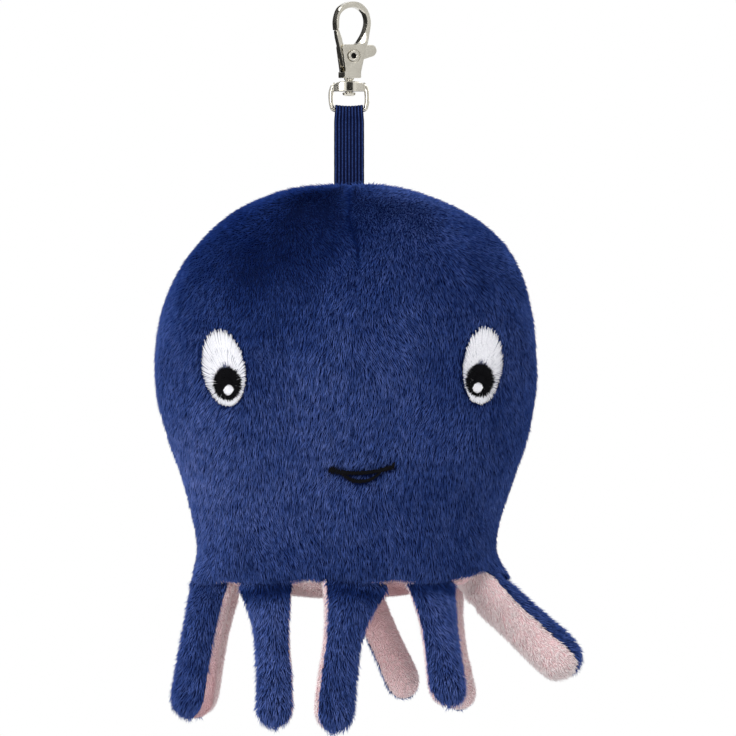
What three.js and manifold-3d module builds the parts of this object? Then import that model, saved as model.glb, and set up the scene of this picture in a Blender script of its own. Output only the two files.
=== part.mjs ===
// A plush octopus bag charm: a swivel snap clasp, an elastic strap, and a stuffed head with eight tentacles.
// Millimetres. +Z up, +X to the viewer's right, +Y away from the viewer.
// The origin is the point inside the hook's crown that the charm hangs from.
import * as THREE from 'three';
import { mergeVertices } from 'three/addons/utils/BufferGeometryUtils.js';
import Module from 'manifold-3d';

const wasm = await Module();
wasm.setup();

// Clearances
const SEAT_GAP = 0.3; // between pieces that rest on or against each other
const RUNNING_GAP = 0.15; // round the gate and its rivet
const PANEL_GAP = 0.3; // between two plush panels at their seam
const FILL_GAP = 0.55; // between the head's filling and its plush

// Clasp
const CLASP_TURN = 24; // degrees about +Z
const CLASP_LENGTH = 35; // as clasps are sold
const FIT = CLASP_LENGTH / 35; // the clasp's other sizes and its outlines are those of the 35 mm clasp
const HOOK_THICKNESS = 3.6 * FIT;
const BODY_THICKNESS = 5.4 * FIT;
const BODY_TOP = -12.4 * FIT;
const BODY_BOTTOM = -23.6 * FIT;
const BLOCK_HEIGHT = 2 * FIT;
const GATE_THICKNESS = 2.7 * FIT;
const RIVET_PLACE = [0.5 * FIT, -16.2 * FIT];
const RIVET_RADIUS = 1.45 * FIT;
const RIVET_BORE = FIT;
const RIVET_FLANGE_RADIUS = 1.9 * FIT;
const RIVET_FLANGE_HEIGHT = 0.55 * FIT;
const RECESS_RADIUS = 2.4 * FIT;
const RECESS_DEPTH = 0.5 * FIT;
const SPRING_WIRE = 0.4 * FIT;
const SPRING_TURNS = 2;
const SPRING_PITCH = 0.6 * FIT;

// Neck, peened stem and swivel ring
const NECK_RADIUS = 1.65 * FIT;
const NECK_HEIGHT = 0.7 * FIT;
const STEM_RADIUS = 1.3 * FIT;
const STEM_HEAD_RADIUS = 2.25 * FIT;
const STEM_HEAD_HEIGHT = 1.2 * FIT;
const BAR_HEIGHT = 3.5 * FIT;
const BAR_HALF_LENGTH = 5.5 * FIT;
const BAR_HALF_DEPTH = 2.7 * FIT;
const BAR_END_DEPTH = 0.9 * FIT;
const RING_HALF_WIDTH = 6.05 * FIT;
const RING_DROP = 9.6 * FIT; // from the bar's top to the centre of the lower bar
const RING_WIRE_RADIUS = 0.75 * FIT;
const RING_CORNER = FIT;
const RING_FOOT_HALF_WIDTH = 5.65 * FIT;
// Strap
const STRAP_WIDTH = 10;
const STRAP_FOLD_WIDTH = 9.1;
const STRAP_LAYER = 0.9;
const STRAP_THICKNESS = 2;
const STRAP_LENGTH = 24.8; // from the lower bar to the root of the strap
const STRAP_SEWN_LENGTH = 7.7;

// Head
const HEAD_SIDE = -1; // the head hangs this far to the left of the clasp
const HEAD_HALF_WIDTH = 63.6;
const HEAD_DEPTH_RATIO = 0.71;
const DOME_HEIGHT = 62.4;
const DOME_POWER = 2.3;
const CHEEK_DROP = 69.2; // from the widest level to the hem
const NECKING = 59; // height over which the cheeks draw in
const NECK_HALF_WIDTH = 0.786 * HEAD_HALF_WIDTH;
const HEM_DEPTH_RATIO = 0.66;
const STRAP_ROOT_PROUD = 0.8; // the strap's root stands this far above the crown of the head
const PLUSH_WALL = 3;
const UNDERSIDE_BULGE = 4;
const HEAD_SIDES = 32;
const INNER_SIDES = 24;
const DOME_RINGS = 9;
const CHEEK_RINGS = 7;

// Tentacles
const TENTACLE_LENGTH = 45;
const ROOT_HALF_WIDTH = 6.4;
const ROOT_RADIUS = 4.5;
const TIP_HALF_WIDTH = 7;
const TIP_HALF_THICKNESS = 5.6;
const ROOT_BELOW_HEM = 3.4;
const ROOT_INSET = 4.9; // from the hem's outside to the middle of a root
const ROOT_CLEARANCE = 0.35;
// For each tentacle: where its root lies round the hem, how far it leans to the right and to the back, and
// its twist about its own length, all in degrees; how far out its root is; its shares of length and of girth.
const TENTACLES = [
  { around: -80, out: 2, right: -11, back: -6, twist: -36, long: 0.978, girth: 1 },
  { around: -35, out: 0, right: 2.8, back: -7, twist: 0, long: 1, girth: 0.94 },
  { around: 2, out: 0, right: -7.7, back: -6, twist: 0, long: 1.044, girth: 1 },
  { around: 41, out: 0, right: 7.8, back: -22, twist: 0, long: 0.91, girth: 0.95 },
  { around: 92, out: 2, right: 47, back: 6, twist: -32, long: 0.9, girth: 1.18 },
  { around: 133, out: 0, right: 8.5, back: 10, twist: -25, long: 0.93, girth: 1 },
  { around: 176, out: 0, right: 25, back: 14, twist: -12, long: 0.933, girth: 0.92 },
  { around: -114, out: 0, right: -13, back: 8, twist: 0, long: 0.933, girth: 1 },
];

// Face: sizes are in half-widths of the head, and so are places, right of and above its widest middle.
const THREAD_LIFT = 0.7;
const EYES = {
  left: {
    at: [-0.643, 0.03], size: [0.234, 0.409], lean: -10, pupil: [-0.623, -0.049], glint: [-0.613, -0.085],
  },
  right: {
    at: [0.714, 0.042], size: [0.212, 0.417], lean: 5.5, pupil: [0.7, -0.031], glint: [0.689, -0.072],
  },
};
const PUPIL_SIZE = [0.1415, 0.173];
const GLINT_SIZE = [0.047, 0.0535];
const MOUTH_CENTRE = [0.082, -0.481];
const MOUTH_WIDTH = 21.4;
const MOUTH_DROP = 5.4;
const MOUTH_STROKE = 2.6;

// Places that follow from the sizes above
const NECK_BOTTOM = BODY_BOTTOM - NECK_HEIGHT;
const BAR_TOP = NECK_BOTTOM - SEAT_GAP;
const BAR_BOTTOM = BAR_TOP - BAR_HEIGHT;
const LOWER_BAR = BAR_TOP - RING_DROP;
const STRAP_ROOT = LOWER_BAR - STRAP_LENGTH;
const HEAD_TOP = STRAP_ROOT - STRAP_ROOT_PROUD;
const HEAD_WIDEST = HEAD_TOP - DOME_HEIGHT;
const HEM = HEAD_WIDEST - CHEEK_DROP;
const SLOT_WIDTH = GATE_THICKNESS + 2 * RUNNING_GAP;

// Materials
const material = (color, roughness, metalness = 0) =>
  new THREE.MeshStandardMaterial({ color, roughness, metalness });
const nickel = () => material(0xd2cfc6, 0.18, 1);
const steel = () => material(0xaaa79f, 0.35, 1);
const navyElastic = () => material(0x17244b, 0.8);
const navyPlush = () => material(0x26356a, 1);
const pinkPlush = () => material(0xdcc4c2, 1);
const fibreFill = () => material(0xf2f0ea, 1);
const whiteThread = () => material(0xf2f2f6, 0.6);
const blackThread = () => material(0x0b0b10, 0.6);

// Solid tools
function toSolid(geometry) {
  const bare = new THREE.BufferGeometry();
  bare.setAttribute('position', geometry.getAttribute('position'));
  if (geometry.index) bare.setIndex(geometry.index);
  const merged = mergeVertices(bare, 1e-4);
  return new wasm.Manifold(new wasm.Mesh({
    numProp: 3,
    vertProperties: new Float32Array(merged.getAttribute('position').array),
    triVerts: new Uint32Array(merged.index.array),
  }));
}

function toGeometry(solid) {
  const mesh = solid.getMesh();
  const geometry = new THREE.BufferGeometry();
  geometry.setAttribute('position', new THREE.BufferAttribute(new Float32Array(mesh.vertProperties), 3));
  geometry.setIndex(new THREE.BufferAttribute(new Uint32Array(mesh.triVerts), 1));
  geometry.computeVertexNormals();
  return geometry;
}

// Turns a drawing in its own x and y, with its depth along z, to lie along three given axes.
function turnTo(geometry, xTo, yTo, zTo) {
  return geometry.applyMatrix4(new THREE.Matrix4().makeBasis(xTo, yTo, zTo));
}

const X = new THREE.Vector3(1, 0, 0);
const Y = new THREE.Vector3(0, 1, 0);
const Z = new THREE.Vector3(0, 0, 1);
const TOWARDS_VIEWER = new THREE.Vector3(0, -1, 0);

function extrude(shape, depth, curveSegments = 8) {
  const geometry = new THREE.ExtrudeGeometry(shape, { depth, bevelEnabled: false, steps: 1, curveSegments });
  return geometry.translate(0, 0, -depth / 2);
}

// A drawing of (x, z) seen from the front, and a drawing of (y, z) seen from the side
const frontSlab = (shape, depth, segments) => turnTo(extrude(shape, depth, segments), X, Z, TOWARDS_VIEWER);
const sideSlab = (shape, width, segments) => turnTo(extrude(shape, width, segments), Y, Z, X);

function box(width, depth, height, x = 0, y = 0, z = 0) {
  return toSolid(new THREE.BoxGeometry(width, depth, height).translate(x, y, z));
}

function polygon(points) {
  return new THREE.Shape(points.map(([x, y]) => new THREE.Vector2(x, y)));
}

// Points of a clasp outline, drawn for a clasp of the length it is sold by
const fitted = (points) => points.map(([x, y]) => new THREE.Vector2(x * FIT, y * FIT));

// A rod through the clasp from front to back
function crossRod(radius, depth, [x, z], y = 0, segments = 24) {
  return new THREE.CylinderGeometry(radius, radius, depth, segments).translate(x, y, z);
}

// Joins rings of points, all with the same count, into one closed body with a point at each end.
function loft(rings, firstPoint, lastPoint) {
  const count = rings[0].length;
  const points = [firstPoint, ...rings.flat(), lastPoint];
  const faces = [];
  for (let i = 0; i < count; i += 1) {
    const next = (i + 1) % count;
    faces.push(0, 1 + i, 1 + next);
    for (let ring = 0; ring < rings.length - 1; ring += 1) {
      const here = 1 + ring * count;
      faces.push(here + i, here + count + i, here + next);
      faces.push(here + next, here + count + i, here + count + next);
    }
    const last = 1 + (rings.length - 1) * count;
    faces.push(last + i, points.length - 1, last + next);
  }
  const geometry = new THREE.BufferGeometry();
  geometry.setAttribute('position', new THREE.Float32BufferAttribute(points.flatMap((p) => p.toArray()), 3));
  geometry.setIndex(faces);
  return geometry;
}

function flipped(geometry) {
  const index = geometry.index.array;
  for (let i = 0; i < index.length; i += 3) {
    const kept = index[i];
    index[i] = index[i + 1];
    index[i + 1] = kept;
  }
  return geometry;
}

// Lofts come out whichever way their rings run, so a body with negative volume is turned right side out.
function facingOut(geometry) {
  const place = geometry.getAttribute('position');
  const corner = [0, 1, 2].map(() => new THREE.Vector3());
  let volume = 0;
  for (let i = 0; i < geometry.index.count; i += 3) {
    corner.forEach((point, k) => point.fromBufferAttribute(place, geometry.index.getX(i + k)));
    volume += corner[0].dot(corner[1].clone().cross(corner[2]));
  }
  return volume < 0 ? flipped(geometry) : geometry;
}

// The hook, its cheeks, neck and peened stem are one casting.
function hookOutline() {
  const outline = new THREE.Shape();
  const right = 3.2 * FIT;
  const left = -2.7 * FIT;
  const corner = 0.5 * FIT;
  outline.moveTo(-5.1 * FIT, -7.65 * FIT);
  outline.splineThru(fitted([
    [-5.25, -4.3], [-4.1, -0.7], [-1.8, 1.3], [0.9, 1.95], [3.7, 1.25], [6, -0.9],
    [7.1, -4.2], [6.9, -7.5], [6, -11], [5.1, -13.4],
  ]));
  outline.lineTo(right, BODY_BOTTOM + BLOCK_HEIGHT);
  outline.lineTo(right, BODY_BOTTOM + corner);
  outline.quadraticCurveTo(right, BODY_BOTTOM, right - corner, BODY_BOTTOM);
  outline.lineTo(left + corner, BODY_BOTTOM);
  outline.quadraticCurveTo(left, BODY_BOTTOM, left, BODY_BOTTOM + corner);
  outline.lineTo(left, BODY_BOTTOM + BLOCK_HEIGHT);
  outline.lineTo(left + 0.35 * FIT, BODY_BOTTOM + BLOCK_HEIGHT + 0.2 * FIT);
  outline.lineTo(-3.5 * FIT, BODY_TOP - 1.2 * FIT);
  outline.quadraticCurveTo(-3.6 * FIT, BODY_TOP - 0.1 * FIT, -2.5 * FIT, BODY_TOP);
  outline.lineTo(1.6 * FIT, BODY_TOP);
  outline.splineThru(fitted([
    [3.1, -11.9], [4.2, -10.2], [5.2, -8], [5.85, -5.8], [5.85, -4], [5.1, -1.9], [3.2, -0.45],
    [0.9, 0], [-1.8, -0.55], [-3.8, -2.2], [-4.35, -4.3], [-4.4, -6.8],
  ]));
  return outline;
}

function hookSideView() {
  const thin = HOOK_THICKNESS / 2;
  const thick = BODY_THICKNESS / 2;
  const above = 3 * FIT;
  const step = -8.5 * FIT;
  const shoulder = BODY_TOP + 0.4 * FIT;
  return polygon([
    [-thin, above], [-thin, step], [-thick, shoulder], [-thick, BODY_BOTTOM - 1],
    [thick, BODY_BOTTOM - 1], [thick, shoulder], [thin, step], [thin, above],
  ].reverse());
}

// The gate's slot is open at the top, the left and the right, and floored by the block above the neck.
function gateSlot() {
  const floor = BODY_BOTTOM + BLOCK_HEIGHT;
  const left = -8 * FIT;
  const right = 9 * FIT;
  const tabTop = BODY_TOP + 0.35 * FIT;
  const top = BODY_TOP + 0.6 * FIT;
  return polygon([
    [left, floor], [right, floor], [right, tabTop], [3.4 * FIT, tabTop], [1.9 * FIT, top], [left, top],
  ]);
}

function neckAndStem() {
  const headTop = BAR_BOTTOM - SEAT_GAP;
  const headBottom = headTop - STEM_HEAD_HEIGHT;
  const profile = [
    [0, headBottom], [STEM_HEAD_RADIUS * 0.6, headBottom], [STEM_HEAD_RADIUS * 0.92, headBottom + 0.35],
    [STEM_HEAD_RADIUS, headTop - 0.25], [STEM_HEAD_RADIUS * 0.92, headTop], [STEM_RADIUS, headTop],
    [STEM_RADIUS, NECK_BOTTOM], [NECK_RADIUS * 0.92, NECK_BOTTOM], [NECK_RADIUS, NECK_BOTTOM + 0.3],
    [NECK_RADIUS, BODY_BOTTOM + 1], [0, BODY_BOTTOM + 1],
  ].map(([r, z]) => new THREE.Vector2(r, z));
  return turnTo(new THREE.LatheGeometry(profile, 24), X, Z, TOWARDS_VIEWER);
}

function hookBody() {
  let solid = toSolid(frontSlab(hookOutline(), BODY_THICKNESS + 2, 4))
    .intersect(toSolid(sideSlab(hookSideView(), 40)));
  solid = solid.subtract(toSolid(frontSlab(gateSlot(), SLOT_WIDTH)));
  solid = solid.subtract(toSolid(crossRod(RIVET_RADIUS + RUNNING_GAP, 10, RIVET_PLACE)));
  const recessMiddle = BODY_THICKNESS / 2 - RECESS_DEPTH + 1;
  for (const side of [-1, 1]) {
    solid = solid.subtract(toSolid(crossRod(RECESS_RADIUS, 2, RIVET_PLACE, side * recessMiddle)));
  }
  return toGeometry(solid.add(toSolid(neckAndStem())));
}

// The gate closes the hook's mouth, fills the slot and ends in the thumb tab on the right.
function gateOutline() {
  const outline = new THREE.Shape(fitted([
    [-4.35, -7.15], [-5.05, -8], [-4.72, -10.2], [-3.75, -14], [-2.6, -19.2],
  ]));
  const curve = (...points) => outline.quadraticCurveTo(...points.map((value) => value * FIT));
  const under = BODY_TOP - 0.7 * FIT;
  curve(-2.2, -20.2, -1, -20.1);
  for (const point of fitted([[1.4, -19.3], [3.9, -17.6], [8.3, -16.2]])) outline.lineTo(point.x, point.y);
  curve(9.6, -15.4, 9.5, -14);
  outline.quadraticCurveTo(9.2 * FIT, BODY_TOP - 0.15 * FIT, 7.6 * FIT, BODY_TOP - 0.05 * FIT);
  outline.lineTo(5.3 * FIT, BODY_TOP - 0.1 * FIT);
  outline.lineTo(4.6 * FIT, under);
  outline.lineTo(-1.7 * FIT, under);
  outline.quadraticCurveTo(-2.7 * FIT, BODY_TOP - 0.2 * FIT, -2.9 * FIT, -11.5 * FIT);
  outline.lineTo(-3.2 * FIT, -10.2 * FIT);
  outline.lineTo(-4.35 * FIT, -7.15 * FIT);
  return outline;
}

function gateLever() {
  const pocketDepth = SPRING_PITCH * SPRING_TURNS + SPRING_WIRE * 2;
  let solid = toSolid(frontSlab(gateOutline(), GATE_THICKNESS, 5));
  solid = solid.subtract(toSolid(crossRod(RIVET_RADIUS + RUNNING_GAP, 10, RIVET_PLACE)));
  const pocketMiddle = GATE_THICKNESS / 2 - pocketDepth + 2;
  const pocket = crossRod(RIVET_RADIUS + SPRING_WIRE + 3 * RUNNING_GAP, 4, RIVET_PLACE, pocketMiddle);
  return toGeometry(solid.subtract(toSolid(pocket)));
}

// A tube with a rolled rim in the recess of each cheek
function pivotRivet() {
  const rim = BODY_THICKNESS / 2 - RECESS_DEPTH + RUNNING_GAP;
  const top = rim + RIVET_FLANGE_HEIGHT;
  const half = [
    [RIVET_BORE, top - 0.2], [RIVET_BORE + 0.2, top], [RIVET_FLANGE_RADIUS - 0.25, top],
    [RIVET_FLANGE_RADIUS, top - 0.3], [RIVET_FLANGE_RADIUS, rim], [RIVET_RADIUS, rim],
  ];
  const profile = [...half, ...half.map(([r, z]) => [r, -z]).reverse()];
  const closed = [...profile, profile[0]].map(([r, z]) => new THREE.Vector2(r, z));
  const [x, z] = RIVET_PLACE;
  const lathe = new THREE.LatheGeometry(closed.reverse(), 24);
  return toGeometry(toSolid(facingOut(mergeVertices(stripped(lathe), 1e-4))).translate([x, 0, z]));
}

function stripped(geometry) {
  const bare = new THREE.BufferGeometry();
  bare.setAttribute('position', geometry.getAttribute('position'));
  bare.setIndex(geometry.index);
  return bare;
}

class CoilCurve extends THREE.Curve {
  constructor(radius, pitch, turns) {
    super();
    Object.assign(this, { radius, pitch, turns });
  }

  getPoint(t, target = new THREE.Vector3()) {
    const angle = t * this.turns * 2 * Math.PI;
    const rise = t * this.turns * this.pitch;
    return target.set(this.radius * Math.cos(angle), rise, this.radius * Math.sin(angle));
  }
}

function gateSpring() {
  const coilRadius = RIVET_RADIUS + RUNNING_GAP + SPRING_WIRE / 2;
  const path = new CoilCurve(coilRadius, SPRING_PITCH, SPRING_TURNS);
  const section = polygon([0, 1, 2, 3, 4].map((i) => {
    const angle = (i * 2 * Math.PI) / 5;
    return [(SPRING_WIRE / 2) * Math.cos(angle), (SPRING_WIRE / 2) * Math.sin(angle)];
  }));
  const wire = new THREE.ExtrudeGeometry(section, { steps: 12 * SPRING_TURNS, extrudePath: path });
  const start = GATE_THICKNESS / 2 - SPRING_PITCH * SPRING_TURNS - SPRING_WIRE / 2;
  const [x, z] = RIVET_PLACE;
  return facingOut(mergeVertices(plainCopy(wire).translate(x, start, z), 1e-4));
}

function plainCopy(geometry) {
  const bare = new THREE.BufferGeometry();
  bare.setAttribute('position', geometry.getAttribute('position').clone());
  return bare;
}

// The ring is cast with a thick bar, bored for the stem, across its top.
function ringPath() {
  const top = BAR_TOP - 1.1;
  const foot = LOWER_BAR + RING_CORNER;
  const path = new THREE.CurvePath();
  const point = (x, z) => new THREE.Vector3(x, 0, z);
  const inner = RING_FOOT_HALF_WIDTH - RING_CORNER;
  for (const side of [-1, 1]) {
    const run = new THREE.CubicBezierCurve3(
      point(side * (BAR_HALF_LENGTH - 0.9), top), point(side * (RING_HALF_WIDTH + 0.2), top - 0.6),
      point(side * (RING_HALF_WIDTH + 0.25), foot + 2.4), point(side * RING_FOOT_HALF_WIDTH, foot),
    );
    const corner = new THREE.QuadraticBezierCurve3(
      point(side * RING_FOOT_HALF_WIDTH, foot), point(side * RING_FOOT_HALF_WIDTH, LOWER_BAR),
      point(side * inner, LOWER_BAR),
    );
    if (side < 0) {
      path.add(run);
      path.add(corner);
      path.add(new THREE.LineCurve3(point(-inner, LOWER_BAR), point(inner, LOWER_BAR)));
    } else {
      path.add(new THREE.QuadraticBezierCurve3(corner.v2, corner.v1, corner.v0));
      path.add(new THREE.CubicBezierCurve3(run.v3, run.v2, run.v1, run.v0));
    }
  }
  return path;
}

// One ring of points round the wire for each point of its path, in the ring's own plane
function ringWire() {
  const path = ringPath();
  const stops = path.curves.flatMap((curve) => {
    const steps = curve instanceof THREE.LineCurve3 ? 1 : 6;
    return Array.from({ length: steps }, (_, i) => [curve.getPoint(i / steps), curve.getTangent(i / steps)]);
  });
  const lastCurve = path.curves[path.curves.length - 1];
  stops.push([lastCurve.getPoint(1), lastCurve.getTangent(1)]);
  const rings = stops.map(([centre, along]) => {
    const across = new THREE.Vector3().crossVectors(along, Y).normalize();
    return Array.from({ length: 10 }, (_, i) => {
      const angle = (i * 2 * Math.PI) / 10;
      return centre.clone()
        .addScaledVector(across, RING_WIRE_RADIUS * Math.cos(angle))
        .addScaledVector(Y, RING_WIRE_RADIUS * Math.sin(angle));
    });
  });
  return facingOut(loft(rings, stops[0][0], stops[stops.length - 1][0]));
}

function swivelRing() {
  const plan = new THREE.Shape();
  plan.moveTo(-BAR_HALF_LENGTH, -BAR_END_DEPTH);
  plan.bezierCurveTo(-3, -BAR_HALF_DEPTH * 1.12, 3, -BAR_HALF_DEPTH * 1.12, BAR_HALF_LENGTH, -BAR_END_DEPTH);
  plan.lineTo(BAR_HALF_LENGTH, BAR_END_DEPTH);
  plan.bezierCurveTo(3, BAR_HALF_DEPTH * 1.12, -3, BAR_HALF_DEPTH * 1.12, -BAR_HALF_LENGTH, BAR_END_DEPTH);
  const front = new THREE.Shape();
  front.moveTo(-BAR_HALF_LENGTH, BAR_BOTTOM);
  front.lineTo(BAR_HALF_LENGTH, BAR_BOTTOM);
  front.lineTo(BAR_HALF_LENGTH, BAR_TOP - 1.2);
  front.quadraticCurveTo(BAR_HALF_LENGTH - 0.7, BAR_TOP - 0.1, 2.4, BAR_TOP);
  front.lineTo(-2.4, BAR_TOP);
  front.quadraticCurveTo(0.7 - BAR_HALF_LENGTH, BAR_TOP - 0.1, -BAR_HALF_LENGTH, BAR_TOP - 1.2);
  const barMiddle = (BAR_TOP + BAR_BOTTOM) / 2;
  const bore = new THREE.CylinderGeometry(STEM_RADIUS + SEAT_GAP, STEM_RADIUS + SEAT_GAP, 10, 24)
    .rotateX(Math.PI / 2).translate(0, 0, barMiddle);
  const bar = toSolid(extrude(plan, BAR_HEIGHT + 2, 6).translate(0, 0, barMiddle))
    .intersect(toSolid(frontSlab(front, 12, 5)));
  return toGeometry(bar.add(toSolid(ringWire())).subtract(toSolid(bore)));
}

// The elastic goes round the ring's lower bar, comes together below it and ends in a round root.
function strap() {
  const inside = RING_WIRE_RADIUS + SEAT_GAP;
  const outside = inside + STRAP_LAYER;
  const half = STRAP_THICKNESS / 2;
  const joined = LOWER_BAR - 5.2;
  const side = new THREE.Shape();
  side.moveTo(half, STRAP_ROOT);
  side.lineTo(half, joined);
  side.quadraticCurveTo(half + 0.1, LOWER_BAR - 2.6, outside, LOWER_BAR);
  side.absarc(0, LOWER_BAR, outside, 0, Math.PI, false);
  side.quadraticCurveTo(-half - 0.1, LOWER_BAR - 2.6, -half, joined);
  side.lineTo(-half, STRAP_ROOT);
  side.absarc(0, STRAP_ROOT, half, Math.PI, 2 * Math.PI, false);
  const eye = new THREE.Path();
  eye.moveTo(inside, LOWER_BAR);
  eye.absarc(0, LOWER_BAR, inside, 0, Math.PI, false);
  eye.quadraticCurveTo(-0.5, LOWER_BAR - 2.2, 0, joined + 1);
  eye.quadraticCurveTo(0.5, LOWER_BAR - 2.2, inside, LOWER_BAR);
  side.holes.push(eye);
  const fold = STRAP_FOLD_WIDTH / 2;
  const wide = STRAP_WIDTH / 2;
  const front = polygon([
    [-wide, STRAP_ROOT - 4], [wide, STRAP_ROOT - 4], [wide, LOWER_BAR - 3], [fold, LOWER_BAR - 1],
    [fold, LOWER_BAR + 5], [-fold, LOWER_BAR + 5], [-fold, LOWER_BAR - 1], [-wide, LOWER_BAR - 3],
  ]);
  return toGeometry(toSolid(sideSlab(side, STRAP_WIDTH + 2, 8)).intersect(toSolid(frontSlab(front, 12))));
}

const TAIL_TOP = STRAP_ROOT - STRAP_THICKNESS / 2 - SEAT_GAP;

function strapTail() {
  return new THREE.BoxGeometry(STRAP_WIDTH, STRAP_THICKNESS, STRAP_SEWN_LENGTH)
    .translate(0, 0, TAIL_TOP - STRAP_SEWN_LENGTH / 2);
}

// Half the head's width at a height: a full dome above the widest level, and cheeks drawn in to the hem
function headHalfWidth(z, inset = 0) {
  const widest = HEAD_HALF_WIDTH - inset;
  if (z >= HEAD_WIDEST) {
    const rise = Math.min((z - HEAD_WIDEST) / (DOME_HEIGHT - inset), 1);
    return widest * (1 - rise ** DOME_POWER) ** (1 / DOME_POWER);
  }
  const fall = Math.min((HEAD_WIDEST - z) / NECKING, 1);
  const drawnIn = NECK_HALF_WIDTH - inset;
  return drawnIn + (widest - drawnIn) * 0.5 * (1 + Math.cos(Math.PI * fall));
}

function headHalfDepth(z, inset = 0) {
  const fall = THREE.MathUtils.clamp((HEAD_WIDEST - z) / NECKING, 0, 1);
  const ratio = THREE.MathUtils.lerp(HEAD_DEPTH_RATIO, HEM_DEPTH_RATIO, fall);
  const width = headHalfWidth(Math.min(z, HEAD_WIDEST));
  return headHalfWidth(z, inset) * ((width * ratio - inset) / (width - inset));
}

function headRing(z, inset, sides) {
  return Array.from({ length: sides }, (_, i) => {
    const angle = (i * 2 * Math.PI) / sides;
    const x = HEAD_SIDE + headHalfWidth(z, inset) * Math.cos(angle);
    return new THREE.Vector3(x, headHalfDepth(z, inset) * Math.sin(angle), z);
  });
}

// A closed head-shaped body, its surface inset from the plush's and its flat bottom at a given height
function headBody(inset, bottom, sides, domeRings, cheekRings) {
  const rings = [];
  for (let i = 1; i <= domeRings; i += 1) {
    const angle = (i / domeRings) * (Math.PI / 2);
    const z = HEAD_WIDEST + (DOME_HEIGHT - inset) * Math.cos(angle) ** (2 / DOME_POWER);
    rings.push(headRing(Math.min(z, HEAD_TOP - inset - 1e-3), inset, sides));
  }
  for (let i = 1; i <= cheekRings; i += 1) {
    rings.push(headRing(HEAD_WIDEST + (bottom - HEAD_WIDEST) * (i / cheekRings), inset, sides));
  }
  const top = new THREE.Vector3(HEAD_SIDE, 0, HEAD_TOP - inset);
  return toSolid(facingOut(loft(rings, top, new THREE.Vector3(HEAD_SIDE, 0, bottom))));
}

// The round seat of the strap's root and the pocket of its sewn end, cut where the two panels meet
function strapPocket() {
  const wide = STRAP_WIDTH + 2 * SEAT_GAP;
  const seatRadius = STRAP_THICKNESS / 2 + SEAT_GAP;
  const seat = new THREE.CylinderGeometry(seatRadius, seatRadius, wide, 16)
    .rotateZ(Math.PI / 2).translate(0, 0, STRAP_ROOT);
  const bottom = TAIL_TOP - STRAP_SEWN_LENGTH - SEAT_GAP;
  const middle = (STRAP_ROOT + bottom) / 2;
  const pocket = box(wide, STRAP_THICKNESS + 2 * SEAT_GAP, STRAP_ROOT - bottom, 0, 0, middle);
  return toSolid(seat).add(pocket);
}

// A tentacle's frame: its root's hinge lies along local x, outwards is local y, and it hangs along -z.
function tentacleFrame({ around, out, right, back, twist, girth }) {
  const angle = THREE.MathUtils.degToRad(around);
  const hemWidth = headHalfWidth(HEM) - ROOT_INSET;
  const hemDepth = headHalfDepth(HEM) - ROOT_INSET;
  const outwards = new THREE.Vector3(Math.sin(angle) / hemWidth, -Math.cos(angle) / hemDepth, 0).normalize();
  const root = new THREE.Vector3(
    HEAD_SIDE + hemWidth * Math.sin(angle), -hemDepth * Math.cos(angle), HEM - ROOT_BELOW_HEM,
  ).addScaledVector(outwards, out);
  const down = new THREE.Vector3(
    Math.tan(THREE.MathUtils.degToRad(right)), Math.tan(THREE.MathUtils.degToRad(back)), -1,
  ).normalize();
  const hinge = new THREE.Vector3().crossVectors(down, outwards).normalize();
  hinge.applyAxisAngle(down, THREE.MathUtils.degToRad(twist));
  const face = new THREE.Vector3().crossVectors(hinge, down);
  const matrix = new THREE.Matrix4().makeBasis(hinge, face, down.clone().negate());
  matrix.setPosition(root);
  return { matrix, girth };
}

// Rings of a tentacle, its surface inset from the plush's: a round root, a slight swell, a blunt round tip
function tentacleBody({ length, girth }, inset, sides, stations) {
  const rings = [];
  const tipRound = TIP_HALF_WIDTH;
  const rootRadius = ROOT_RADIUS * girth - inset;
  const end = length - inset;
  for (const station of stations) {
    const z = rootRadius - station * (rootRadius + end);
    const along = THREE.MathUtils.clamp(-z / length, 0, 1);
    const rootCap = z > 0 ? Math.sqrt(Math.max(1 - (z / rootRadius) ** 2, 0)) : 1;
    const nearTip = THREE.MathUtils.clamp((-z - (end - tipRound)) / tipRound, 0, 1);
    const tipCap = Math.sqrt(Math.max(1 - nearTip ** 2.4, 0));
    const caps = rootCap * tipCap;
    const width = (THREE.MathUtils.lerp(ROOT_HALF_WIDTH, TIP_HALF_WIDTH, along) * girth - inset) * caps;
    const thickness = (THREE.MathUtils.lerp(ROOT_RADIUS, TIP_HALF_THICKNESS, along) * girth - inset) * caps;
    rings.push(Array.from({ length: sides }, (_, i) => {
      const angle = (i * 2 * Math.PI) / sides;
      return new THREE.Vector3(width * Math.cos(angle), thickness * Math.sin(angle), z);
    }));
  }
  const root = new THREE.Vector3(0, 0, rootRadius);
  return toSolid(facingOut(loft(rings, root, new THREE.Vector3(0, 0, -end))));
}

const TENTACLE_STATIONS = [0.02, 0.055, 0.095, 0.3, 0.55, 0.8, 0.9, 0.96, 0.99];
const FILL_STATIONS = [0.03, 0.09, 0.5, 0.85, 0.96];
const FILL_INSET = PLUSH_WALL + SEAT_GAP;

function tentaclePanels(tentacle) {
  const whole = tentacleBody(tentacle, 0, 12, TENTACLE_STATIONS);
  const hollow = tentacleBody(tentacle, PLUSH_WALL, 8, FILL_STATIONS);
  const shell = whole.subtract(hollow);
  const reach = 2 * tentacle.length + 40;
  const middle = (reach + PANEL_GAP) / 2;
  return {
    outer: toGeometry(shell.intersect(box(reach, reach, reach, 0, middle, 0))),
    inner: toGeometry(shell.intersect(box(reach, reach, reach, 0, -middle, 0))),
    fill: toGeometry(tentacleBody(tentacle, FILL_INSET, 8, FILL_STATIONS)),
  };
}

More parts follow.
